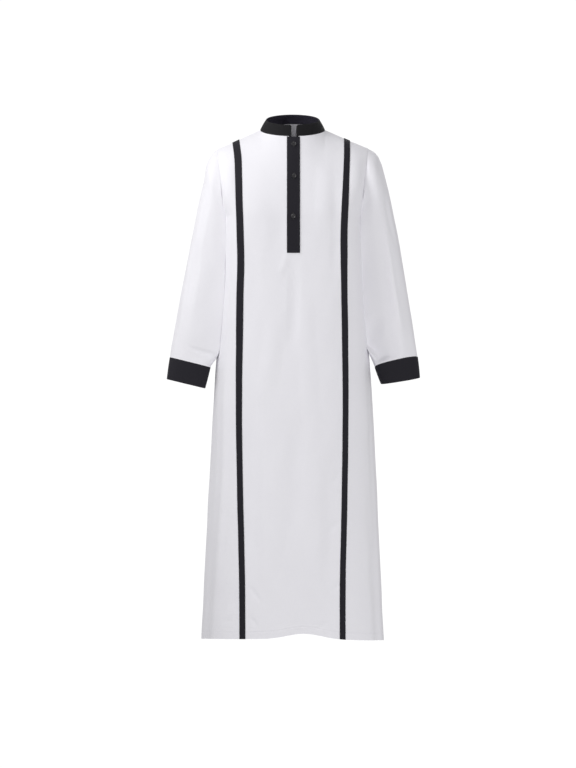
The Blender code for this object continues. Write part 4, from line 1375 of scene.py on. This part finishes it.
def pressed(side, grid, around, shares):
    """The sleeve with the front of its inner side lying against the body."""
    drop, depth = -grid[..., 2], -grid[..., 1]
    table = flank(side)
    target = in_table(table, (drop - CHEST_DROP) / FLANK_DROPS[-1], depth / FLANK_DEPTHS[-1])
    # Beside the armhole, the body's front starts from the seam.
    seam = armhole(side, np.linspace(math.pi / 2, math.pi, 60))
    start = side * seam[:, 0] - np.interp(-seam[:, 1], FLANK_DEPTHS, table[0])
    target += np.interp(drop, -seam[:, 2], start)
    turn = around % 360
    lean = ease((turn - PRESS_FROM) / PRESS_FADE) * ease((PRESS_TO - turn) / PRESS_FADE)
    lean *= ease((drop - PRESS_TOP) / PRESS_TOP_FADE)
    lean *= ease((PRESS_LOW[side] - shares[:, None]) / PRESS_LOW_FADE)
    x = blend(grid[..., 0], side * (target - PRESS_SINK), lean)
    return np.stack([x, grid[..., 1], grid[..., 2]], axis=-1)


def sleeve(side_name, material):
    side = SIDES[side_name]
    angles = sleeve_angles(side)
    shares = spread(*SLEEVE_ROWS)
    grid = sleeve_rings(side_name, shares, angles)
    normals = grid_normals(grid, closed=True)
    table = [row[1:] for row in SLEEVE_CREASES if row[0] == side_name]
    around = np.broadcast_to(np.degrees(angles), grid.shape[:2])
    offset = creased(around, shares[:, None], table, around=True)
    offset += uneven(around * SLEEVE_DEGREE, -grid[..., 2])
    calm = ease(shares / SLEEVE_CALM_TOP) * ease((1 - shares) / SLEEVE_CALM_LOW)
    down = along(grid, 0)
    roll = SEAM_ROLL * bell(down / SEAM_ROLL_REACH)
    grid = grid + normals * (offset * calm[:, None] - roll)[..., None]
    grid = pressed(side, grid, around, shares)
    normals = grid_normals(grid, closed=True)
    pucker = rippling(from_ends(down, 0))
    # The seam allowance, which closes the gap to the body from inside.
    allowance = grid[0] - (normals[0] + np.array([side, 0, 0])) * ALLOWANCE
    grid = np.concatenate([allowance[None], grid])
    normals = np.concatenate([normals[:1], normals])
    pucker = np.concatenate([pucker[:1], pucker])
    inner = grid - normals * CLOTH
    return add_shell(f"sleeve_{side_name}_cloth", grid, inner, material, closed=True, pucker=pucker)


def cuff(side_name, material):
    """A band that carries on from the sleeve's last ring and flattens to its own oval, and the lines of its
    stitches."""
    side = SIDES[side_name]
    ends = np.reshape(CUFF_ENDS[side_name], (2, 3))
    inner, outer = (np.array([side * x, y, -drop]) for x, y, drop in ends)
    angles = sleeve_angles(side)
    top_ring = sleeve_rings(side_name, [1.0], angles)[0]
    top_outer, top_inner = sleeve_rings(side_name, [1.0], np.array([0, math.pi]))[0]
    top_middle = (top_outer + top_inner) / 2
    across = unit(top_outer - top_middle)
    forward = unit(np.array([0, -1.0, 0]) + across * across[1])
    shares = (top_ring - top_middle) @ across
    depths = (top_ring - top_middle) @ forward
    end_forward = CUFF_HALF_DEPTH * forward + np.array([0, 0, RING_TILTS[side_name][1]])
    end_ring = (inner + outer) / 2 + np.outer(shares / np.abs(shares).max(), (outer - inner) / 2)
    end_ring += np.outer(depths / np.abs(depths).max(), end_forward)
    axis = unit(end_ring.mean(axis=0) - top_middle)
    rows = both_ends(CUFF_ROWS, 7)
    grid = blend(top_ring, end_ring, rows[:, None, None])
    grid += axis * (CUFF_LIFT - CUFF_OVERLAP * (1 - rows)[:, None, None])
    normals = grid_normals(grid, closed=True)
    wave = CUFF_WAVE * np.sin(2 * angles + CUFF_WAVE_TURN) * np.sin(math.pi * rows)[:, None]
    middle = grid + normals * (CUFF_PROUD + CUFF_OUT + wave - CUFF_WALL / 2)[..., None]
    edges = from_ends(along(middle, 0), 0)
    made = add_band(f"cuff_{side_name}_cloth", middle, normals, CUFF_WALL, edges, material, closed=True)
    surface = middle + normals * (CUFF_WALL / 2)
    closed = [*range(len(angles)), 0]
    inside = (len(CUFF_ROWS) - 1, len(rows) - len(CUFF_ROWS))
    return made, stitched(surface, normals, *((row, closed) for row in inside))


def collar(material):
    """The standing band, from its right end round the back to its left end, and its stitches' lines."""
    neck = np.array([NECK_HALF_WIDTH, NECK_HALF_DEPTH, NECK_MIDDLE_Z, NECK_TILT])
    ups = 1 - both_ends(COLLAR_EDGE, 10)
    around = both_ends(COLLAR_END_TURN, 116)
    wave, waves, phase = COLLAR_WAVE
    rings = []
    for up in ups:
        half_width, half_depth, middle_z, tilt = blend(neck, COLLAR_TOP, up)
        # The upper corners of both ends are rounded.
        short = max(COLLAR_CORNER - (1 - up) * COLLAR_HEIGHT, 0)
        inset = COLLAR_CORNER - math.sqrt(COLLAR_CORNER**2 - short**2)
        first = math.asin((COLLAR_ENDS_X[1] + inset) / half_width)
        last = 2 * math.pi + math.asin((COLLAR_ENDS_X[0] - inset) / half_width)
        angles = first + (last - first) * around
        bow = COLLAR_BOW * 4 * up * (1 - up) + wave * up * np.sin(waves * angles + phase)
        xs = (half_width + bow) * np.sin(angles)
        ys = NECK_MIDDLE_Y - (half_depth + bow) * np.cos(angles)
        rings.append(np.stack([xs, ys, middle_z - tilt * np.cos(angles)], axis=1))
    grid = np.array(rings)
    normals = grid_normals(grid)
    grid += unit(grid[0] - grid[-1]) * COLLAR_LIFT
    middle = grid + normals * (COLLAR_PROUD - COLLAR_WALL / 2)
    edges = np.minimum(from_ends(along(middle, 0), 0), from_ends(along(middle, 1), 1))
    made = add_band("collar_cloth", middle, normals, COLLAR_WALL, edges, material)
    # The band's inside is painted lighter, as painted light inside the collar, and its outside is darker.
    set_mask(made.data, "painted_light_tone", np.repeat(COLLAR_PAINTED_LIGHT, edges.size))
    rows = (len(COLLAR_EDGE) - 1, len(ups) - len(COLLAR_EDGE))
    columns = (len(COLLAR_END_TURN) - 1, len(around) - len(COLLAR_END_TURN))
    places = [(row, slice(columns[0], columns[1] + 1)) for row in rows]
    places += [(slice(rows[0], rows[1] + 1), column) for column in columns]
    lines = []
    for face in (1, -1):
        lines += stitched(middle + normals * face * COLLAR_WALL / 2, face * normals, *places)
    return made, lines


def front_place(x, drop):
    """A point of the front at this x and drop, its normal, and the direction to the right."""
    column = x / NECK_HALF_WIDTH
    rows = np.linspace(0.01, 1.02, 102)
    drops = -body_grid(-1, np.array([column]), rows)[:, 0, 2]
    row = float(np.interp(drop, drops, rows))
    near = np.array([-FINE_STEP, 0, FINE_STEP])
    grid, normals = body_surface(-1, column + near, row + near)
    right = unit(grid[1, 2] - grid[1, 0])
    normal = normals[1, 1]
    return grid[1, 1], normal, unit(right - normal * (right @ normal))


def add_turned(built, rings):
    """A closed form through rings of points."""
    made = [[built.verts.new(point) for point in ring] for ring in rings]
    count = len(rings[0])
    for lower, higher in zip(made, made[1:]):
        for k in range(count):
            after = (k + 1) % count
            built.faces.new([lower[k], lower[after], higher[after], higher[k]])
    built.faces.new(made[0][::-1])
    built.faces.new(made[-1])


def built_object(name, built, material):
    bmesh.ops.recalc_face_normals(built, faces=built.faces)
    mesh = bpy.data.meshes.new(name)
    built.to_mesh(mesh)
    built.free()
    return add_object(name, mesh, material)


def button(name, x, drop, plastic):
    """A turned disc with a raised rim and four holes. Also its threads and those of its buttonhole."""
    here, outward, right = front_place(x, drop)
    up = np.cross(outward, right)
    surface = here + outward * (PLACKET_LIFT + PLACKET_CLOTH)
    base = surface + outward * SEAM_GAP
    turn = 2 * math.pi * np.arange(BUTTON_ROUND) / BUTTON_ROUND
    spokes = np.cos(turn)[:, None] * right + np.sin(turn)[:, None] * up
    solid, drill = bmesh.new(), bmesh.new()
    rings = []
    for width, height in BUTTON_PROFILE:
        rings.append(base + spokes * width * BUTTON_RADIUS + outward * height * BUTTON_THICKNESS)
    add_turned(solid, rings)
    for across, along_up in ((1, 1), (1, -1), (-1, 1), (-1, -1)):
        centre = base + (right * across + up * along_up) * BUTTON_HOLE_OFF
        add_turned(drill, [centre + spokes[::4] * BUTTON_HOLE + outward * end for end in BUTTON_DRILL])
    disc = built_object(name + "_disc", solid, plastic)
    tool = built_object(name + "_drill", drill, plastic)
    cut = disc.modifiers.new("holes", "BOOLEAN")
    cut.operation = "DIFFERENCE"
    cut.solver = "EXACT"
    cut.object = tool
    view = bpy.context.evaluated_depsgraph_get()
    finished = bpy.data.meshes.new_from_object(disc.evaluated_get(view))
    disc.modifiers.clear()
    disc.data = finished
    finished.shade_smooth()
    finished.set_sharp_from_angle(angle=BUTTON_SHARP)
    bpy.data.objects.remove(tool)
    dress(disc, "button_plastic", name)

    dish = base + outward * (BUTTON_PROFILE[-1][1] * BUTTON_THICKNESS + BUTTON_BAR_LIFT)
    bars = []
    for across in (-1, 1):
        for strand in (-1, 0, 1):
            bars.append(dish + right * (across * BUTTON_HOLE_OFF + strand * BUTTON_STRAND))
    count = int(BUTTONHOLE_LENGTH / BUTTONHOLE_PITCH)
    heights = (np.arange(count) - (count - 1) / 2) * BUTTONHOLE_PITCH
    sides, ends = [], []
    for side in (-1, 1):
        sides += list(surface + up * heights[:, None] + right * side * BUTTONHOLE_HALF)
        ends += [surface + up * side * (heights[-1] + past) for past in BUTTONHOLE_END_AT]
    return [
        capsules(bars, up, outward, *BUTTON_BAR),
        capsules(sides, right, outward, *BUTTONHOLE_STITCH),
        capsules(ends, right, outward, *BUTTONHOLE_END),
    ]


# --- Studio -------------------------------------------------------------------------------------------


def plain_emission(name, strength):
    """Even white for the floor and the backdrop."""
    material = bpy.data.materials.new(name)
    material.use_nodes = True
    tree = material.node_tree
    tree.nodes.clear()
    glow = tree.nodes.new("ShaderNodeEmission")
    glow.inputs["Color"].default_value = (1, 1, 1, 1)
    glow.inputs["Strength"].default_value = strength
    out = tree.nodes.new("ShaderNodeOutputMaterial")
    tree.links.new(glow.outputs[0], out.inputs["Surface"])
    return material


def backdrop():
    """A white floor and a white dome, which the camera sees and no light meets."""
    white = plain_emission("studio_white", STUDIO_WHITE)
    place = {"radius": STUDIO_RADIUS, "location": (0, 0, FLOOR_Z)}
    bpy.ops.mesh.primitive_circle_add(vertices=96, fill_type="NGON", **place)
    floor = bpy.context.object
    floor.name = "floor"
    bpy.ops.mesh.primitive_uv_sphere_add(segments=64, ring_count=32, **place)
    dome = bpy.context.object
    dome.name = "backdrop"
    for stage in (floor, dome):
        stage.data.materials.append(white)
        stage.visible_diffuse = False
        stage.visible_glossy = False
        stage.visible_shadow = False


def studio():
    """The backdrop, the lights and the camera."""
    backdrop()
    scene = bpy.context.scene
    world = bpy.data.worlds.new("studio")
    world.use_nodes = True
    sky = world.node_tree.nodes["Background"]
    sky.inputs["Color"].default_value = (1, 1, 1, 1)
    sky.inputs["Strength"].default_value = WORLD_LIGHT
    scene.world = world
    for name, place, size, watts in LIGHTS:
        lamp = bpy.data.lights.new(name, "AREA")
        lamp.shape = "DISK"
        lamp.size = size
        lamp.energy = watts
        lit = bpy.data.objects.new(name, lamp)
        scene.collection.objects.link(lit)
        aim = mathutils.Vector(LIGHT_AIM) - mathutils.Vector(place)
        lit.location = place
        lit.rotation_euler = aim.to_track_quat("-Z", "Y").to_euler()
    lens = bpy.data.cameras.new("camera")
    lens.sensor_fit = "AUTO"
    lens.sensor_width = SENSOR
    lens.lens = LENS
    camera = bpy.data.objects.new("camera", lens)
    camera.location = CAMERA_PLACE
    camera.rotation_euler = (math.radians(90), 0, 0)
    scene.collection.objects.link(camera)
    scene.camera = camera
    scene.view_settings.view_transform = "Standard"


def main():
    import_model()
    white = white_cloth()
    black = black_cloth()
    black_thread = thread_material("black_thread", (0.03, 0.029, 0.034), 0.5)
    white_thread = thread_material("white_thread", (0.84, 0.83, 0.88), 0.5)
    button_thread = thread_material("button_thread", (0.006, 0.006, 0.007), 0.6)
    plastic = button_material()

    front_piece, front_lines = front(white)
    back_piece, back_lines = panel("back_cloth", 1, back_columns(), white)
    dress(front_piece, "white_cloth", "front", *CUT_FRONT)
    dress(back_piece, "white_cloth", "back", *CUT_BACK)
    add_stitching("white_stitches", front_lines + back_lines, white_thread)

    black_lines = []
    for side_name in SIDES:
        tape_piece, lines = tape(side_name, black)
        dress(tape_piece, "black_cloth", "tape_" + side_name, CUT_TAPE)
        black_lines += lines
        dress(sleeve(side_name, white), "white_cloth", "sleeve_" + side_name, *CUT_SLEEVE[side_name])
        cuff_piece, lines = cuff(side_name, black)
        dress(cuff_piece, "black_cloth", "cuff_" + side_name, CUT_CUFF[side_name])
        black_lines += lines
    collar_piece, lines = collar(black)
    dress(collar_piece, "black_cloth", "collar", CUT_COLLAR)
    add_stitching("black_stitches", black_lines + lines, black_thread)
    upper, lower = placket(black, black_thread)
    dress(upper, "black_cloth", "placket_upper", CUT_PLACKET)
    dress(lower, "black_cloth", "placket_under", CUT_UNDER)
    sewn = []
    for name, x, drop in BUTTONS:
        sewn += button(name, x, drop, plastic)
    add_threads("button_threads", sewn, button_thread)

    studio()


main()
